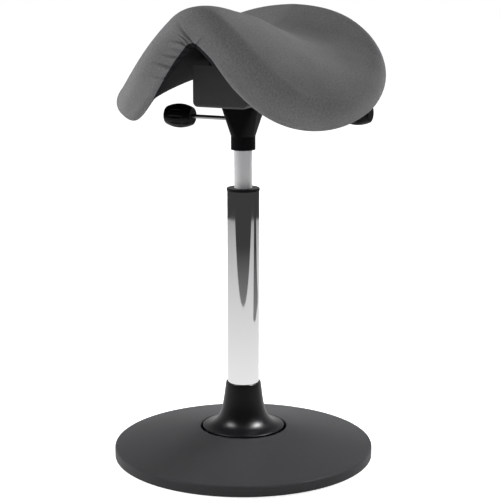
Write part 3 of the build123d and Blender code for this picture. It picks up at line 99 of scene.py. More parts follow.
class SeatSettings(bpy.types.PropertyGroup):
    """Shape of the padded saddle, flat and then bent over its ridge."""

    front: length("Front", "Front end of the outline", -170.5 * MM)
    rear: length("Rear", "Rear end of the outline", 203 * MM)
    widest: length("Widest", "Place of the greatest width", -3 * MM)
    half_girth: length("Half girth", "From the ridge to the side edge along the underside", 210.2 * MM)
    roundness: FloatProperty(name="Roundness", description="Power of the oval outline", default=2.4)
    slopes: FloatVectorProperty(
        name="Flap slopes",
        description="Control values of the flaps' slope beside the ridge from front to rear",
        default=tuple(math.radians(angle) for angle in (43.8, 19.4, 1.8)),
        size=3,
        unit="ROTATION",
    )
    ridge: FloatVectorProperty(
        name="Ridge",
        description="Control heights of the underside along the ridge from front to rear",
        default=tuple(height * MM for height in (657.6, 685.7, 554.2, 662)),
        size=4,
        unit="LENGTH",
    )
    fold_radii: FloatVectorProperty(
        name="Fold radii",
        description="Radius of the underside over the ridge at the front and the rear",
        default=(5.3 * MM, 33 * MM),
        size=2,
        unit="LENGTH",
    )
    flap_radii: FloatVectorProperty(
        name="Flap radii",
        description="Radius of the flaps' downward curl at the front and the rear",
        default=(362 * MM, 10000 * MM),
        size=2,
        unit="LENGTH",
    )
    thickness: length("Thickness", "Foam thickness at the ridge", 56.5 * MM)
    side_taper: length("Side taper", "How much thinner the foam is at the sides", 5 * MM)
    top_edge: length("Top edge", "Rounding of the upper edge", 22 * MM)
    under_edge: length("Under edge", "Rounding of the lower edge at the ends", 11 * MM)
    under_edge_side: length("Under edge, sides", "Rounding of the lower edge at the sides", 24 * MM)
    askew: length("Askew", "How much more the cover is drawn under at the right of the ridge", 4.5 * MM)
    rim_width: length("Rim width", "Width of the rim round the shell", 16 * MM)
    pocket: length("Pocket", "Depth of the pocket that holds the shell", 13.3 * MM)
    slack: length("Slack", "How much smaller the pad is cut before it swells", 0.5 * MM)
    overhang: length("Overhang", "How much further out the pad is cut at its edge", 0.4 * MM)
    swell: length("Swell", "The most that the pad may swell", 2.5 * MM)
    pressure: FloatProperty(name="Pressure", description="Pressure in the pad", default=0.8)
    rows: IntProperty(name="Rows", description="Mesh rows across the top of the pad", default=80)
    valley: length("Valley", "How much fuller the foam is in the dip of the ridge", 9 * MM)
    pucker: length("Pucker depth", "Depth of the puckers at the lower edge", 4.5 * MM)
    crease: length("Crease depth", "Depth of the crease at the front of the ridge", 4.0 * MM)
    crease_reach: length("Crease reach", "How far the crease bends to the side", 21 * MM)


class TrumpetSettings(bpy.types.PropertyGroup):
    """Profile of the shroud at the column's foot."""

    radii: FloatVectorProperty(
        name="Radii",
        description="Control radii of the outside from the top to the flange",
        default=(27.6 * MM, 33.4 * MM, 31.8 * MM, 63.6 * MM),
        size=4,
        unit="LENGTH",
    )
    heights: FloatVectorProperty(
        name="Heights",
        description="Control heights of the outside from the top to the flange",
        default=(119 * MM, 81.5 * MM, 52.0 * MM, 47.5 * MM),
        size=4,
        unit="LENGTH",
    )
    bore: length("Bore", "Radius of the hole for the tube", 25.2 * MM)
    wall: length("Wall", "Thickness of the wall", 2.6 * MM)
    lip: length("Lip", "Rounding of the top edge", 0.8 * MM)


class FinishSettings(bpy.types.PropertyGroup):
    """Colours of the finishes."""

    fabric: colour("Fabric", "Seat cover", (0.172, 0.172, 0.174))
    shell: colour("Shell", "Underside of the seat", (0.011, 0.011, 0.012))
    base: colour("Base", "Moulded base cover", (0.043, 0.043, 0.045))
    trumpet: colour("Trumpet", "Glossy shroud at the column's foot", (0.006, 0.006, 0.007))
    covers: colour("Covers", "Mechanism covers", (0.056, 0.056, 0.058))
    console: colour("Console", "Powder-coated console", (0.004, 0.004, 0.005))
    knobs: colour("Knobs", "Lever knobs", (0.004, 0.004, 0.004))
    chrome: colour("Chrome", "Column tube", (0.90, 0.90, 0.91))
    steel: colour("Steel", "Small steel parts", (0.60, 0.60, 0.61))
    bright_steel: colour("Bright steel", "Gas cylinder", (0.62, 0.62, 0.63))
    iron: colour("Iron", "Castings inside the base", (0.10, 0.10, 0.11))
    rubber: colour("Rubber", "Foot ring and springs", (0.018, 0.018, 0.018))
    lever: colour("Lever", "Zinc-plated lever rods", (0.42, 0.42, 0.43))
    wood: colour("Wood", "Stained mounting block", (0.012, 0.011, 0.010))


class StageSettings(bpy.types.PropertyGroup):
    """Light and camera."""

    horizon: FloatProperty(
        name="Horizon", description="Strength of the even light from the sides", default=0.90
    )
    zenith: FloatProperty(name="Zenith", description="Strength of the even light from above", default=0.42)
    key: FloatProperty(
        name="Key lamp", description="Power of the soft lamp at the left", default=45.0, unit="POWER"
    )
    rim: FloatProperty(
        name="Rim lamp", description="Power of the soft lamp behind", default=68.0, unit="POWER"
    )
    left: FloatProperty(name="Left glint", description="Strength of the glint at the left", default=26.0)
    right: FloatProperty(name="Right glint", description="Strength of the glint at the right", default=85.0)
    dark: FloatVectorProperty(
        name="Dark floor",
        description="Where the dark studio floor starts in front, at the right and all round",
        default=(1.02, 0.87, 2.05),
        size=3,
        unit="LENGTH",
    )
    lens: FloatProperty(name="Lens", description="Focal length", default=110.28, unit="CAMERA")
    camera_at: FloatVectorProperty(
        name="Camera",
        description="Place of the camera",
        default=(1.0100, -2.1261, 0.8255),
        subtype="TRANSLATION",
    )
    camera_turn: FloatVectorProperty(
        name="Camera turn",
        description="Rotation of the camera",
        default=(math.pi / 2 - 0.2064, 0.0, 0.439),
        subtype="EULER",
    )


class Shade:
    """A socket in a material's node tree. Arithmetic on it adds Math nodes, node() adds any other."""

    def __init__(self, tree, socket=None):
        self.tree = tree
        self.socket = socket

    def node(self, kind, settings=None, inputs=None, output=0):
        made = self.tree.nodes.new("ShaderNode" + kind)
        for name, value in (settings or {}).items():
            setattr(made, name, value)
        for name, value in (inputs or {}).items():
            if isinstance(value, Shade):
                self.tree.links.new(value.socket, made.inputs[name])
            else:
                made.inputs[name].default_value = value
        return Shade(self.tree, made.outputs[output] if made.outputs else None)

    def math(self, operation, first, second=0.0):
        return self.node("Math", {"operation": operation}, {0: first, 1: second})

    def __add__(self, other):
        return self.math("ADD", self, other)

    def __radd__(self, other):
        return self.math("ADD", other, self)

    def __sub__(self, other):
        return self.math("SUBTRACT", self, other)

    def __rsub__(self, other):
        return self.math("SUBTRACT", other, self)

    def __mul__(self, other):
        return self.math("MULTIPLY", self, other)

    def __rmul__(self, other):
        return self.math("MULTIPLY", other, self)

    def __pow__(self, other):
        return self.math("POWER", self, other)

    def __gt__(self, other):
        return self.math("GREATER_THAN", self, other)


def rgba(rgb, gain=1.0):
    return (*(min(part * gain, 1.0) for part in rgb), 1.0)


def blend(start, dark, light, share):
    """Mixes two colours, each a number tuple or a socket, by a share from 0 to 1."""
    return start.node(
        "Mix", {"data_type": "RGBA", "clamp_factor": True}, {0: share, 6: dark, 7: light}, output=2
    )


def noise(start, where, scale, detail=3.0, roughness=0.55):
    inputs = {"Vector": where, "Scale": scale, "Detail": detail, "Roughness": roughness}
    return start.node("TexNoise", None, inputs)


def stretched(start, where, scale):
    """Scales a coordinate by a factor for each axis."""
    return start.node("VectorMath", {"operation": "MULTIPLY"}, {0: where, 1: scale})


def bump(start, height, distance, strength=1.0):
    inputs = {"Height": height, "Distance": distance, "Strength": strength}
    return start.node("Bump", None, inputs)


def finish_material(name, constants, varying):
    """Material whose constants sit on the shader's own sockets and whose varying() gives linked ones."""
    made = bpy.data.materials.new(FINISH_NAME + name)
    made.use_nodes = True
    tree = made.node_tree
    shader = tree.nodes["Principled BSDF"]
    for socket, value in constants.items():
        shader.inputs[socket].default_value = value
    for socket, value in varying(Shade(tree)).items():
        tree.links.new(value.socket, shader.inputs[socket])
    return made


def object_place(start):
    return start.node("TexCoord", None, None, output="Object")


def woven_fabric(name, rgb, under_shade_rgb):
    """Close plain weave on the flat cut of the cloth; under the rim it is painted dark as shade, in the
    shell's black.
    """

    def varying(start):
        flat = start.node("Attribute", {"attribute_name": "flat"}, None, output="Vector")
        axes = start.node("SeparateXYZ", None, {0: flat})
        across = Shade(axes.tree, axes.socket.node.outputs[0])
        along = Shade(axes.tree, axes.socket.node.outputs[1])
        under = Shade(axes.tree, axes.socket.node.outputs[2])
        thread = 2 * math.pi / (1.5 * MM)
        warp = start.math("SINE", across * thread)
        weft = start.math("SINE", along * thread)
        weave = warp * weft
        place = object_place(start)
        yarn = noise(start, stretched(start, flat, (1, 1, 0)), 620, 2.0, 0.6)
        fleck = noise(start, stretched(start, flat, (1, 1, 0)), 300, 2.0, 0.6)
        cloud = noise(start, place, 16, 3.0)
        tone = 0.5 + (fleck - 0.5) * 0.8 + (yarn - 0.5) * 0.7 + (cloud - 0.5) * 0.4
        cloth = blend(start, rgba(rgb, 0.60), rgba(rgb, 1.40), tone)
        # Painted shade: under the rim the cover takes the shell's black
        painted_under_shade = under > 0.5
        base = blend(start, cloth, rgba(under_shade_rgb, 1.8), painted_under_shade)
        height = weave * 0.5 + yarn
        return {
            "Base Color": base,
            "Roughness": 0.86 + yarn * 0.12,
            "Normal": bump(start, height, 0.12 * MM, 0.6),
        }

    return finish_material(name, {"Specular IOR Level": 0.0}, varying)


def moulded_plastic(name, rgb, grain, depth, rough, gloss=0.25):
    """Moulded plastic with a fine spark-eroded grain and slight mottling."""

    def varying(start):
        place = object_place(start)
        fine = noise(start, place, 1 / grain, 2.0, 0.6)
        broad = noise(start, place, 9, 3.0)
        tone = fine * 0.5 + broad * 0.5
        return {
            "Base Color": blend(start, rgba(rgb, 0.75), rgba(rgb, 1.25), tone),
            "Roughness": rough - 0.07 + broad * 0.08 + fine * 0.06,
            "Normal": bump(start, fine, depth, 0.7),
        }

    return finish_material(name, {"Specular IOR Level": gloss}, varying)


def plated_chrome(name, rgb):
    """Mirror plating with faint wiping marks."""

    def varying(start):
        place = object_place(start)
        wipe = noise(start, stretched(start, place, (1, 1, 0.15)), 42, 4.0)
        cloud = noise(start, place, 7, 2.0)
        return {
            "Base Color": blend(start, rgba(rgb, 0.96), rgba(rgb, 1.03), cloud),
            "Roughness": 0.025 + wipe * 0.035,
        }

    return finish_material(name, {"Metallic": 1.0}, varying)


def drawn_steel(name, rgb, rough, metal=1.0, brushing=0.0):
    """Steel with fine rings left by polishing round the axis, which draw out reflections along it."""

    def varying(start):
        place = object_place(start)
        rings = noise(start, stretched(start, place, (0.03, 0.03, 1)), 2600, 2.0, 0.7)
        cloud = noise(start, place, 22, 3.0)
        return {
            "Base Color": blend(start, rgba(rgb, 0.88), rgba(rgb, 1.10), rings * 0.6 + cloud * 0.4),
            "Roughness": rough - 0.06 + rings * 0.12,
            "Normal": bump(start, rings, 0.02 * MM, 0.35),
        }

    constants = {"Metallic": metal, "Anisotropic": brushing, "Anisotropic Rotation": 0.25}
    return finish_material(name, constants, varying)


def cast_iron(name, rgb):
    """Sand-cast iron with a pitted skin."""

    def varying(start):
        place = object_place(start)
        pits = noise(start, place, 420, 4.0, 0.65)
        broad = noise(start, place, 30, 3.0)
        return {
            "Base Color": blend(start, rgba(rgb, 0.6), rgba(rgb, 1.5), broad * 0.6 + pits * 0.4),
            "Roughness": 0.5 + pits * 0.25,
            "Normal": bump(start, pits, 0.3 * MM, 0.7),
        }

    return finish_material(name, {"Metallic": 0.75}, varying)


def powder_coat(name, rgb, rough, gloss=0.12):
    """Baked powder coat with a slight orange-peel surface."""

    def varying(start):
        place = object_place(start)
        peel = noise(start, place, 520, 2.0, 0.5)
        broad = noise(start, place, 14, 2.0)
        return {
            "Base Color": blend(start, rgba(rgb, 0.8), rgba(rgb, 1.2), broad),
            "Roughness": rough - 0.04 + broad * 0.08,
            "Normal": bump(start, peel, 0.05 * MM, 0.5),
        }

    return finish_material(name, {"Specular IOR Level": gloss}, varying)


def rubber_finish(name, rgb):
    """Matt rubber with a dusty bloom."""

    def varying(start):
        place = object_place(start)
        bloom = noise(start, place, 36, 4.0)
        fine = noise(start, place, 900, 2.0)
        return {
            "Base Color": blend(start, rgba(rgb, 0.7), rgba(rgb, 1.6), bloom),
            "Roughness": 0.72 + fine * 0.16,
            "Normal": bump(start, fine, 0.06 * MM, 0.6),
        }

    return finish_material(name, {"Specular IOR Level": 0.3}, varying)


def plywood(name, rgb):
    """Layers of stained veneer, seen as bands up the sides, with grain along the depth."""

    def varying(start):
        place = object_place(start)
        axes = start.node("SeparateXYZ", None, {0: place})
        height = Shade(axes.tree, axes.socket.node.outputs[2])
        veneer = start.math("SINE", height * (2 * math.pi / (3.2 * MM))) * 0.5 + 0.5
        grain = noise(start, stretched(start, place, (1, 0.06, 1)), 380, 4.0, 0.6)
        return {
            "Base Color": blend(start, rgba(rgb, 0.62), rgba(rgb, 1.18), veneer * 0.45 + grain * 0.6),
            "Roughness": 0.55 + grain * 0.2,
            "Normal": bump(start, grain, 0.1 * MM, 0.5),
        }

    return finish_material(name, {}, varying)


def make_finishes(finish):
    """One material for each material slot of the record."""
    return {
        # The shell's black also paints shade on the cover under the rim
        "seat_fabric": woven_fabric("seat_fabric", finish.fabric, finish.shell),
        "shell_plastic": moulded_plastic("shell_plastic", finish.shell, 1.1 * MM, 0.1 * MM, 0.62, gloss=0.02),
        "base_plastic": moulded_plastic("base_plastic", finish.base, 0.9 * MM, 0.12 * MM, 0.50, gloss=0.10),
        "trumpet_plastic": moulded_plastic(
            "trumpet_plastic", finish.trumpet, 3.0 * MM, 0.01 * MM, 0.30, gloss=0.28
        ),
        "cover_plastic": moulded_plastic("cover_plastic", finish.covers, 1.2 * MM, 0.05 * MM, 0.42),
        "knob_plastic": moulded_plastic("knob_plastic", finish.knobs, 1.0 * MM, 0.03 * MM, 0.32, gloss=0.15),
        "bush_plastic": moulded_plastic("bush_plastic", finish.console, 1.4 * MM, 0.04 * MM, 0.40),
        "console_paint": powder_coat("console_paint", finish.console, 0.36),
        "lever_steel": drawn_steel("lever_steel", finish.lever, 0.32),
        "ballast_paint": powder_coat("ballast_paint", finish.base, 0.55),
        "column_chrome": plated_chrome("column_chrome", finish.chrome),
        "cylinder_steel": drawn_steel("cylinder_steel", finish.bright_steel, 0.42, metal=0.15, brushing=0.9),
        "plain_steel": drawn_steel("plain_steel", finish.steel, 0.36),
        "cast_housing": cast_iron("cast_housing", finish.iron),
        "foot_rubber": rubber_finish("foot_rubber", finish.rubber),
        "flex_rubber": rubber_finish("flex_rubber", finish.rubber),
        "block_wood": plywood("block_wood", finish.wood),
    }


def put_mesh(name, points, faces, material_slot, body):
    """Makes an object at the origin from whole arrays of points and faces, riding on a body."""
    mesh = bpy.data.meshes.new(name)
    mesh.from_pydata(points, [], faces)
    mesh.update()
    mesh.polygons.foreach_set("use_smooth", np.full(len(mesh.polygons), True))
    piece = bpy.data.objects.new(name, mesh)
    bpy.context.scene.collection.objects.link(piece)
    mesh.materials.append(bpy.data.materials[FINISH_NAME + material_slot])
    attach(piece, body)
    return piece


def bezier(controls, t):
    """Bernstein curve: the sum of C(n, k) t^k (1 - t)^(n - k) times each control value."""
    degree = len(controls) - 1
    terms = (math.comb(degree, k) * c * t**k * (1 - t) ** (degree - k) for k, c in enumerate(controls))
    return sum(terms)


def seat_curve(seat, y):
    """Slope of the flaps beside the ridge, radius of the fold and curvature of the flaps at a depth y."""
    t = (y - seat.front) / (seat.rear - seat.front)
    curl = (1 - t) ** 2 / seat.flap_radii[0] + t**2 / seat.flap_radii[1]
    return bezier(seat.slopes, t), bezier(seat.fold_radii, t), curl


def bent_seat(seat, s, y, n):
    """Bends the flat seat: s goes round an arc over the ridge up to the slope, then down the flap on a
    wide arc; n is measured square to the underside; the ridge rises and falls with y."""
    slope, fold, curl = seat_curve(seat, y)
    ridge = bezier(seat.ridge, (y - seat.front) / (seat.rear - seat.front))
    angle = np.minimum(np.abs(s) / fold, slope)
    turn = angle + curl * (np.abs(s) - fold * angle)
    x = fold * np.sin(angle) + (np.sin(turn) - np.sin(angle)) / curl + n * np.sin(turn)
    z = ridge - fold + fold * np.cos(angle) + (np.cos(turn) - np.cos(angle)) / curl + n * np.cos(turn)
    return np.stack([np.sign(s) * x, y, z], axis=-1)


def seat_outline(seat, turn, inset):
    """Oval outline |s/a|^p + |y/b|^p = 1 at an angle, with both half axes less the inset."""
    cosine, sine = np.cos(turn), np.sin(turn)
    reach = (np.abs(cosine) ** seat.roundness + np.abs(sine) ** seat.roundness) ** (-1 / seat.roundness)
    half_length = np.where(sine < 0, seat.widest - seat.front, seat.rear - seat.widest) - inset
    return (seat.half_girth - inset) * reach * cosine, seat.widest + half_length * reach * sine


def on_top(seat, s, y):
    """Distance from the ridge along the top face: the underside's distance, plus the thickness times the
    angle turned on the way."""
    slope, fold, curl = seat_curve(seat, y)
    angle = np.minimum(np.abs(s) / fold, slope)
    turn = angle + curl * (np.abs(s) - fold * angle)
    return s + seat.thickness * np.sign(s) * turn


def from_top(seat, w, y):
    """The reverse of on_top()."""
    slope, fold, curl = seat_curve(seat, y)
    near = np.minimum(np.abs(w), (fold + seat.thickness) * slope)
    s = near * fold / (fold + seat.thickness) + (np.abs(w) - near) / (1 + curl * seat.thickness)
    return np.sign(w) * s


def even_turn(seat, turn):
    """Outline angles whose points on the top face lie at the given angles, found by interpolation, so that
    the mesh is as even over the wide top of the fold as elsewhere."""
    dense = np.linspace(-math.pi, math.pi, 4001)
    s, y = seat_outline(seat, dense, seat.top_edge)
    half_width = on_top(seat, seat.half_girth - seat.top_edge, seat.widest)
    half_length = np.where(y < seat.widest, seat.widest - seat.front, seat.rear - seat.widest) - seat.top_edge
    seen = np.unwrap(np.arctan2((y - seat.widest) / half_length, on_top(seat, s, y) / half_width))
    return np.interp(turn, seen, dense)


def pad_height(seat, s):
    """Height of the top face over the underside, which falls with the square of the distance s."""
    return seat.thickness - seat.slack - seat.side_taper * (s / seat.half_girth) ** 2


def pad_profile(seat, turn):
    """Rings of the pad from the top face's edge, over the rounded edge, down the wall, round the lower
    edge, under the rim and up into the pocket: inset, height and distance along the profile."""
    rim_s, _ = seat_outline(seat, turn, 0)
    thickness = pad_height(seat, rim_s)
    fullness = np.abs(rim_s) / seat.half_girth
    lower = seat.under_edge + (seat.under_edge_side - seat.under_edge) * fullness**3
    lower = lower + seat.askew * np.tanh(rim_s / ASKEW_WIDTH) * (1 - fullness)
    one = np.ones_like(turn)
    edge = -seat.overhang * one
    tuck = np.minimum(lower, seat.rim_width - RIM_FLAT)
    rings = []
    for beta in np.linspace(0, math.pi / 2, 7):
        inset = edge + seat.top_edge * (1 - math.sin(beta))
        rings.append((inset, thickness - seat.top_edge * (1 - math.cos(beta))))
    wall_top = thickness - seat.top_edge
    for share in np.linspace(0, 1, 9)[1:]:
        rings.append((edge, wall_top + (lower - wall_top) * share))
    for beta in np.linspace(0, math.pi / 2, 5)[1:]:
        rings.append((edge + tuck * (1 - math.cos(beta)), lower * (1 - math.sin(beta))))
    for share in (0.33, 0.66, 1.0):
        rings.append((edge + tuck + (seat.rim_width - edge - tuck) * share, 0 * one))
    for share in (0.5, 1.0):
        rings.append((seat.rim_width * one, seat.pocket * share * one))
    inset = np.array([ring[0] for ring in rings])
    height = np.array([ring[1] for ring in rings])
    steps = np.hypot(np.diff(inset, axis=0), np.diff(height, axis=0))
    distance = np.vstack([0 * one, np.cumsum(steps, axis=0)])
    return inset, height, distance


def grid_faces(index):
    """Quads between the neighbours of a grid of point numbers."""
    return np.stack([index[:-1, :-1], index[1:, :-1], index[1:, 1:], index[:-1, 1:]], axis=-1).reshape(-1, 4)


def flat_pad(seat):
    """Pad as one closed sheet: a square grid carried to the oval by x = u sqrt(1 - v^2 / 2) and the same
    for y makes the top and the pocket's ceiling, and rings join their edges. Returns points, faces, the
    flat cut with a mark of the painted shade under the rim, the place on the wall and what is held."""
    rows = seat.rows
    side = np.linspace(-1, 1, rows + 1)
    u, v = np.meshgrid(side, side, indexing="ij")
    disc_x, disc_y = u * np.sqrt(1 - v**2 / 2), v * np.sqrt(1 - u**2 / 2)
    turn, share = even_turn(seat, np.arctan2(disc_y, disc_x)), np.hypot(disc_x, disc_y)
    s, y = seat_outline(seat, turn, seat.top_edge - seat.overhang)
    w = on_top(seat, s, y) * share
    y = seat.widest + (y - seat.widest) * share
    s = from_top(seat, w, y)
    fuller = seat.valley * np.exp(-(((y - VALLEY_AT) / VALLEY_LENGTH) ** 2) - (w / VALLEY_WIDTH) ** 2)
    top = bent_seat(seat, s, y, pad_height(seat, s) + fuller).reshape(-1, 3)
    top_flat = np.stack([w, y, 0 * w], axis=-1).reshape(-1, 3)
    index = np.arange((rows + 1) ** 2).reshape(rows + 1, rows + 1)
    rim = np.concatenate([index[:-1, 0], index[-1, :-1], index[:0:-1, -1], index[0, :0:-1]])

    rim_turn = turn.reshape(-1)[rim]
    inset, height, distance = pad_profile(seat, rim_turn)
    ring_s, ring_y = seat_outline(seat, rim_turn[None, :], inset)
    rings = bent_seat(seat, ring_s, ring_y, height)[1:]
    flat_rim = top_flat[rim]
    tangent = np.roll(flat_rim, -1, axis=0) - np.roll(flat_rim, 1, axis=0)
    outward = np.stack([tangent[:, 1], -tangent[:, 0], 0 * tangent[:, 0]], axis=-1)
    outward /= np.linalg.norm(outward, axis=1, keepdims=True)
    ring_flat = flat_rim[None] + outward[None] * distance[1:, :, None]
    number = np.arange(1, inset.shape[0])[:, None]
    fullness = np.abs(seat_outline(seat, rim_turn, 0)[0]) / seat.half_girth
    # Ring from which the cover is painted dark as shade under the rim
    shade_from_ring = PAD_UNDER_RING + UNDER_SHADE_RINGS * np.clip((fullness - UNDER_SHADE_FROM) / UNDER_SHADE_OVER, 0, 1)
    ring_flat[:, :, 2] = np.clip(0.5 + UNDER_SHADE_STEP * (number + 0.5 - shade_from_ring[None, :]), 0, 1)
    under = np.repeat(number[:, 0] > PAD_UNDER_RING, rim.size)

    s, y = seat_outline(seat, turn, seat.rim_width)
    s, y = s * share, seat.widest + (y - seat.widest) * share
    ceiling = bent_seat(seat, s, y, np.full_like(s, seat.pocket))[1:-1, 1:-1].reshape(-1, 3)
    ceiling_flat = np.stack([s, y, np.ones_like(s)], axis=-1)[1:-1, 1:-1].reshape(-1, 3)

    points = np.vstack([top, rings.reshape(-1, 3), ceiling])
    flat = np.vstack([top_flat, ring_flat.reshape(-1, 3), ceiling_flat])
    ladder = np.vstack([rim[None], len(top) + np.arange(rings.shape[0] * rim.size).reshape(-1, rim.size)])
    beside = np.roll(ladder, -1, axis=1)
    band = np.stack([ladder[:-1], ladder[1:], beside[1:], beside[:-1]], axis=-1).reshape(-1, 4)
    inner = np.empty((rows + 1) ** 2, int)
    inner[rim] = ladder[-1]
    inner = inner.reshape(rows + 1, rows + 1)
    inner[1:-1, 1:-1] = len(points) - len(ceiling) + np.arange(len(ceiling)).reshape(rows - 1, rows - 1)
    faces = np.vstack([grid_faces(index), band, grid_faces(inner)[:, ::-1]])

    steps = np.linalg.norm((np.roll(flat_rim, -1, axis=0) - flat_rim)[:, :2], axis=1)
    run = np.cumsum(steps) - steps
    run -= run[np.argmin(np.abs(rim_turn + math.pi / 2))]
    run = (run + steps.sum() / 2) % steps.sum() - steps.sum() / 2
    wall = np.full((len(points), 3), -1.0)
    wall[rim] = np.stack([run, height[0], 0 * run], axis=-1)
    mark = np.stack([np.broadcast_to(run, inset[1:].shape), height[1:], 0 * inset[1:]], axis=-1)
    wall[len(top) : len(top) + mark[:, :, 0].size] = mark.reshape(-1, 3)
    held = np.concatenate([np.zeros(len(top)), under, np.ones(len(ceiling))])
    return points, faces, flat, wall, held


def mesh_points(mesh):
    points = np.empty(len(mesh.vertices) * 3)
    mesh.vertices.foreach_get("co", points)
    return points.reshape(-1, 3)


def store_vectors(mesh, name, values):
    mesh.attributes.new(name, "FLOAT_VECTOR", "POINT").data.foreach_set("vector", values.ravel())


def read_vectors(mesh, name):
    values = np.empty(len(mesh.vertices) * 3)
    mesh.attributes[name].data.foreach_get("vector", values)
    return values.reshape(-1, 3)


def swell(piece, held, pressure, most):
    """Blows the pad up as cloth under pressure, with its rim held, and caps how far a point moves."""
    group = piece.vertex_groups.new(name="held")
    group.add(np.flatnonzero(held > 0.5).tolist(), 1.0, "REPLACE")
    cloth = piece.modifiers.new("cloth", "CLOTH")
    cloth.settings.quality = 6
    cloth.settings.mass = 0.3
    cloth.settings.tension_stiffness = 25
    cloth.settings.compression_stiffness = 25
    cloth.settings.shear_stiffness = 15
    cloth.settings.bending_stiffness = 4
    cloth.settings.use_pressure = True
    cloth.settings.uniform_pressure_force = pressure
    cloth.settings.vertex_group_mass = "held"
    cloth.settings.effector_weights.gravity = 0
    cloth.point_cache.frame_start = 1
    cloth.point_cache.frame_end = SWELL_FRAMES
    scene = bpy.context.scene
    for step in range(1, SWELL_FRAMES + 1):
        scene.frame_set(step)
    before = mesh_points(piece.data)
    shown = piece.evaluated_get(bpy.context.evaluated_depsgraph_get()).data
    moved = mesh_points(shown) - before
    far = np.linalg.norm(moved, axis=1, keepdims=True)
    after = before + moved * np.minimum(1, most / np.maximum(far, 1e-9))
    piece.modifiers.remove(cloth)
    piece.vertex_groups.remove(group)
    piece.data.vertices.foreach_set("co", after.ravel())
    piece.data.update()
    scene.frame_set(1)


def refine(piece):
    """Applies one round of subdivision."""
    modifier = piece.modifiers.new("fine", "SUBSURF")
    modifier.levels = modifier.render_levels = 1
    shown = piece.evaluated_get(bpy.context.evaluated_depsgraph_get())
    fine = bpy.data.meshes.new_from_object(shown)
    piece.modifiers.clear()
    old = piece.data
    piece.data = fine
    bpy.data.meshes.remove(old)
    fine.polygons.foreach_set("use_smooth", np.full(len(fine.polygons), True))


def gather_cloth(seat, piece):
    """Pulls the cover in along short lines at the lower edge, and along a crease that leaves the front of
    the ridge and bends up: each line is a narrow dip with a low ridge on both sides,
    a (k q^2 - 1) exp(-q^2), that fades with height."""
    mesh = piece.data
    run, height, _ = read_vectors(mesh, "wall").T
    on_wall = np.where((height > 0.5 * MM) & (height < seat.thickness), 1.0, 0.0)
    bend = seat.crease_reach * (1 - np.exp(-(height - seat.under_edge) / CREASE_BEND))
    q = (run + bend) / CREASE_WIDTH
    push = seat.crease * (0.7 * q**2 - 1) * np.exp(-(q**2)) * np.exp(-((height / CREASE_FADE) ** 4))
    for place, depth, reach, lean in PUCKERS:
        q = (run - place - lean * (height - seat.under_edge)) / PUCKER_WIDTH
        push += seat.pucker * depth * (1.6 * q**2 - 1) * np.exp(-(q**2)) * np.exp(-((height / reach) ** 4))
    normals = np.empty(len(run) * 3)
    mesh.vertex_normals.foreach_get("vector", normals)
    points = mesh_points(mesh) + normals.reshape(-1, 3) * (push * on_wall)[:, None]
    mesh.vertices.foreach_set("co", points.ravel())
    mesh.update()


def lathe(profile, segments):
    """Turned surface: a closed profile of radius r and height z goes round as (r cos a, r sin a, z)."""
    angle = np.linspace(0, 2 * math.pi, segments, endpoint=False)
    r, z = profile.T
    across, along = np.outer(r, np.cos(angle)), np.outer(r, np.sin(angle))
    points = np.stack([across, along, np.outer(z, 0 * angle + 1)], axis=-1)
    index = np.arange(r.size * segments).reshape(r.size, segments)
    return points.reshape(-1, 3), grid_faces(np.pad(index, ((0, 1), (0, 1)), mode="wrap"))


def trumpet_profile(trumpet):
    """Closed profile of the shroud: a cubic curve for the outside, a half circle round the flange's edge,
    the outside moved in by the wall, and a rounded lip at the top."""
    t = np.linspace(0, 1, 48)
    outside = np.stack([bezier(trumpet.radii, t), bezier(trumpet.heights, t)], axis=-1)
    along = np.gradient(outside, axis=0)
    along /= np.linalg.norm(along, axis=1, keepdims=True)
    normal = np.stack([-along[:, 1], along[:, 0]], axis=-1)
    inside = outside - trumpet.wall * normal
    inside[:, 0] = np.maximum(inside[:, 0], trumpet.bore)
    beta = np.linspace(0, math.pi, 9)[1:-1, None]
    middle = outside[-1] - trumpet.wall / 2 * normal[-1]
    edge = middle + trumpet.wall / 2 * (np.cos(beta) * normal[-1] + np.sin(beta) * along[-1])
    beta = np.linspace(0, math.pi / 2, 5)
    corner = np.array([trumpet.radii[0] - trumpet.lip, trumpet.heights[0] - trumpet.lip])
    lip = corner + trumpet.lip * np.stack([np.sin(beta), np.cos(beta)], axis=-1)
    below = outside[:, 1] < corner[1]
    return np.vstack([lip, outside[below], edge, inside[::-1]])


class ACTIVE_CHAIR_OT_finishes(bpy.types.Operator):
    """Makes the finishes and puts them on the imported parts"""

    bl_idname = "active_chair.finishes"
    bl_label = "Finishes"

    def execute(self, context):
        finishes = make_finishes(context.scene.active_chair_finish)
        for entry in frame["record"]["subparts"]:
            node = frame["nodes"][entry["node"]]
            node.data.materials.clear()
            node.data.materials.append(finishes[entry["material_slot"]])
        return {"FINISHED"}


class ACTIVE_CHAIR_OT_seat(bpy.types.Operator):
    """Makes the padded saddle"""

    bl_idname = "active_chair.seat"
    bl_label = "Seat pad"

    def execute(self, context):
        seat = context.scene.active_chair_seat
        points, faces, flat, wall, held = flat_pad(seat)
        piece = put_mesh("saddle_pad", points, faces, "seat_fabric", "seat")
        store_vectors(piece.data, "flat", flat)
        store_vectors(piece.data, "wall", wall)
        swell(piece, held, seat.pressure, seat.swell)
        refine(piece)
        gather_cloth(seat, piece)
        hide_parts("seat_pad")
        return {"FINISHED"}


class ACTIVE_CHAIR_OT_trumpet(bpy.types.Operator):
    """Makes the shroud at the column's foot, with a smooth flare"""

    bl_idname = "active_chair.trumpet"
    bl_label = "Trumpet"

    def execute(self, context):
        points, faces = lathe(trumpet_profile(context.scene.active_chair_trumpet), LATHE_SEGMENTS)
        piece = put_mesh("trumpet", points, faces, "trumpet_plastic", "column")
        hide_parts("trumpet_cover")
        return {"FINISHED"}


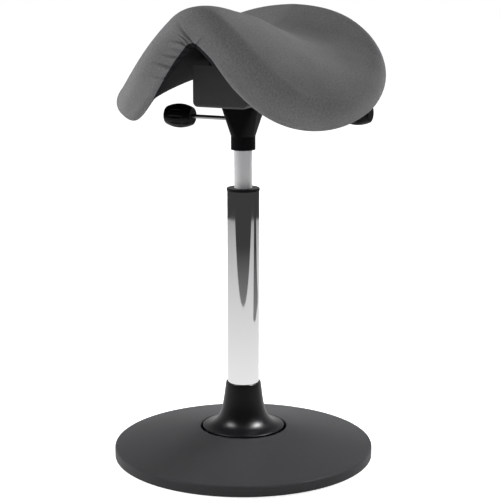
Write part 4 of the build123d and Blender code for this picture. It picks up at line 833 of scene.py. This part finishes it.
class ACTIVE_CHAIR_OT_stage(bpy.types.Operator):
    """Makes the floor, the light and the camera"""

    bl_idname = "active_chair.stage"
    bl_label = "Stage"

    def execute(self, context):
        stage = context.scene.active_chair_stage
        scene = context.scene
        scene.view_settings.view_transform = "Standard"
        self.paper()
        self.surround(stage)
        self.sky(scene, stage)
        self.lamp("key", stage.key, KEY_AT).visible_glossy = False
        self.lamp("rim", stage.rim, RIM_AT).visible_glossy = False
        self.camera(scene, stage)
        return {"FINISHED"}

    def plane(self, name, points, faces):
        """Flat mesh on the floor, turned to face the camera."""
        turn = bpy.context.scene.active_chair_stage.camera_turn[2]
        x, y, z = np.array(points, float).T
        cosine, sine = np.cos(turn), np.sin(turn)
        turned = np.stack([x * cosine - y * sine, x * sine + y * cosine, z], axis=-1)
        mesh = bpy.data.meshes.new(name)
        mesh.from_pydata(turned, [], faces)
        made = bpy.data.objects.new(name, mesh)
        bpy.context.scene.collection.objects.link(made)
        return made

    def emitter(self, thing, name, shade):
        """Gives a thing a material that shows the shader made by shade() as it is."""
        made = bpy.data.materials.new(name)
        made.use_nodes = True
        made.node_tree.nodes.clear()
        start = Shade(made.node_tree)
        place = object_place(start)
        distance = start.node("VectorMath", {"operation": "LENGTH"}, {0: place}, output="Value")
        start.node("OutputMaterial", None, {"Surface": shade(start, distance)})
        thing.data.materials.append(made)

    def paper(self):
        """White floor that glows for the camera and keeps the shadow. In plated parts it is pale and dims
        with the distance."""
        reach = FLOOR_REACH
        corners = [(-reach, -reach, 0), (reach, -reach, 0), (reach, reach, 0), (-reach, reach, 0)]

        def shade(start, distance):
            matt = start.node("BsdfDiffuse", None, {"Color": (0.9, 0.9, 0.9, 1)})
            glow = start.node("Emission", None, {"Color": (1, 1, 1, 1), "Strength": 0.7})
            tone = start.node("Clamp", None, {"Value": 1.0 - 0.3 * distance})
            pale = start.node("Emission", None, {"Color": tone, "Strength": 1.0})
            path = start.node("LightPath")
            mirrored = Shade(start.tree, path.socket.node.outputs["Is Glossy Ray"])
            lit = start.node("AddShader", None, {0: matt, 1: glow})
            seen = start.node("MixShader", None, {0: path, 1: matt, 2: lit})
            return start.node("MixShader", None, {0: mirrored, 1: seen, 2: pale})

        self.emitter(self.plane("paper", corners, [(0, 1, 2, 3)]), "paper", shade)

    def surround(self, stage):
        """Dark floor in front, in a strip at the right and all round far out, which only reflections show."""
        front, right, round_about = stage.dark
        reach, lift, count = FLOOR_REACH, 0.3 * MM, 48
        corners = [(-reach, -reach), (reach, -reach), (reach, -front), (-reach, -front)]
        near, far = DARK_STRIP
        corners += [(right, near), (reach, near), (reach, far), (right, far)]
        turn = np.linspace(0, 2 * math.pi, count, endpoint=False)
        circle = np.stack([np.cos(turn), np.sin(turn)], axis=-1)
        flat = np.vstack([corners, circle * round_about, circle * reach])
        points = np.column_stack([flat, np.full(len(flat), lift)])
        inner = len(corners) + np.arange(count)
        ring = np.stack([inner, inner + count, np.roll(inner, -1) + count, np.roll(inner, -1)], axis=-1)
        surround = self.plane("surround", points, np.vstack([[[0, 1, 2, 3], [4, 5, 6, 7]], ring]))
        surround.visible_camera = False
        surround.visible_diffuse = False
        surround.visible_shadow = False

        def shade(start, distance):
            tone = start.node("Clamp", None, {"Value": 0.46 - 0.25 * distance, "Min": 0.045, "Max": 0.22})
            return start.node("Emission", None, {"Color": tone, "Strength": 1.0})

        self.emitter(surround, "surround", shade)

    def sky(self, scene, stage):
        """Even light that falls off from the horizon to the zenith; white for the camera; in plated and
        glossy parts dark on the camera's side, with a soft glint high at the left and at the right."""
        world = bpy.data.worlds.new("studio")
        world.use_nodes = True
        tree = world.node_tree
        tree.nodes.clear()
        start = Shade(tree)
        way = start.node("TexCoord", None, None, output="Generated")
        axes = start.node("SeparateXYZ", None, {0: way})
        up = start.math("MAXIMUM", Shade(tree, axes.socket.node.outputs[2]), 0.0)
        low = (1 - up) ** 3
        turn = stage.camera_turn[2]

        def toward(direction):
            inputs = {0: way, 1: direction}
            return start.node("VectorMath", {"operation": "DOT_PRODUCT"}, inputs, output="Value")

        behind = toward((-math.sin(turn), math.cos(turn), 0))
        left = start.math("MAXIMUM", toward(LEFT_GLINT), 0.0) ** GLINT_POWER
        right = start.math("MAXIMUM", toward(RIGHT_GLINT), 0.0) ** GLINT_POWER
        strength = stage.zenith + low * (stage.horizon - stage.zenith)
        even = start.node("Background", None, {"Color": strength, "Strength": 1.0})
        share = start.node("Clamp", None, {"Value": 0.45 + behind * 0.9})
        tone = 0.06 + low * share + left * stage.left + right * stage.right
        studio = start.node("Background", None, {"Color": tone, "Strength": 1.0})
        white = start.node("Background", None, {"Color": (1, 1, 1, 1), "Strength": 1.0})
        path = start.node("LightPath")
        mirrored = Shade(tree, path.socket.node.outputs["Is Glossy Ray"])
        lit = start.node("MixShader", None, {0: mirrored, 1: even, 2: studio})
        mixed = start.node("MixShader", None, {0: path, 1: lit, 2: white})
        start.node("OutputWorld", None, {"Surface": mixed})
        scene.world = world

    def lamp(self, name, power, place):
        """Round lamp turned to the middle of the chair."""
        light = bpy.data.lights.new(name, "AREA")
        light.shape = "DISK"
        light.size = LAMP_SIZE
        light.energy = power
        holder = bpy.data.objects.new(name, light)
        holder.location = place
        holder.rotation_euler = (Vector(LAMP_AIM) - Vector(place)).to_track_quat("-Z", "Y").to_euler()
        bpy.context.scene.collection.objects.link(holder)
        return holder

    def camera(self, scene, stage):
        data = bpy.data.cameras.new("camera")
        data.lens = stage.lens
        data.sensor_width = 36.0
        holder = bpy.data.objects.new("camera", data)
        holder.location = stage.camera_at
        holder.rotation_euler = stage.camera_turn
        scene.collection.objects.link(holder)
        scene.camera = holder


PIECES = (ACTIVE_CHAIR_OT_finishes, ACTIVE_CHAIR_OT_seat, ACTIVE_CHAIR_OT_trumpet, ACTIVE_CHAIR_OT_stage)


class VIEW3D_PT_active_chair(bpy.types.Panel):
    """Lists the chair's pieces"""

    bl_label = "Active chair"
    bl_space_type = "VIEW_3D"
    bl_region_type = "UI"
    bl_category = "Active chair"

    def draw(self, context):
        for piece in PIECES:
            self.layout.operator(piece.bl_idname)


SETTINGS = {
    "active_chair_seat": SeatSettings,
    "active_chair_trumpet": TrumpetSettings,
    "active_chair_finish": FinishSettings,
    "active_chair_stage": StageSettings,
}
CLASSES = (*SETTINGS.values(), *PIECES, VIEW3D_PT_active_chair)


def register():
    for made in CLASSES:
        bpy.utils.register_class(made)
    for name, group in SETTINGS.items():
        setattr(bpy.types.Scene, name, PointerProperty(type=group))


def unregister():
    for name in SETTINGS:
        delattr(bpy.types.Scene, name)
    for made in reversed(CLASSES):
        bpy.utils.unregister_class(made)


def main():
    register()
    bpy.ops.active_chair.finishes()
    bpy.ops.active_chair.seat()
    bpy.ops.active_chair.trumpet()
    bpy.ops.active_chair.stage()
    bpy.context.view_layer.update()


if __name__ == "__main__":
    main()
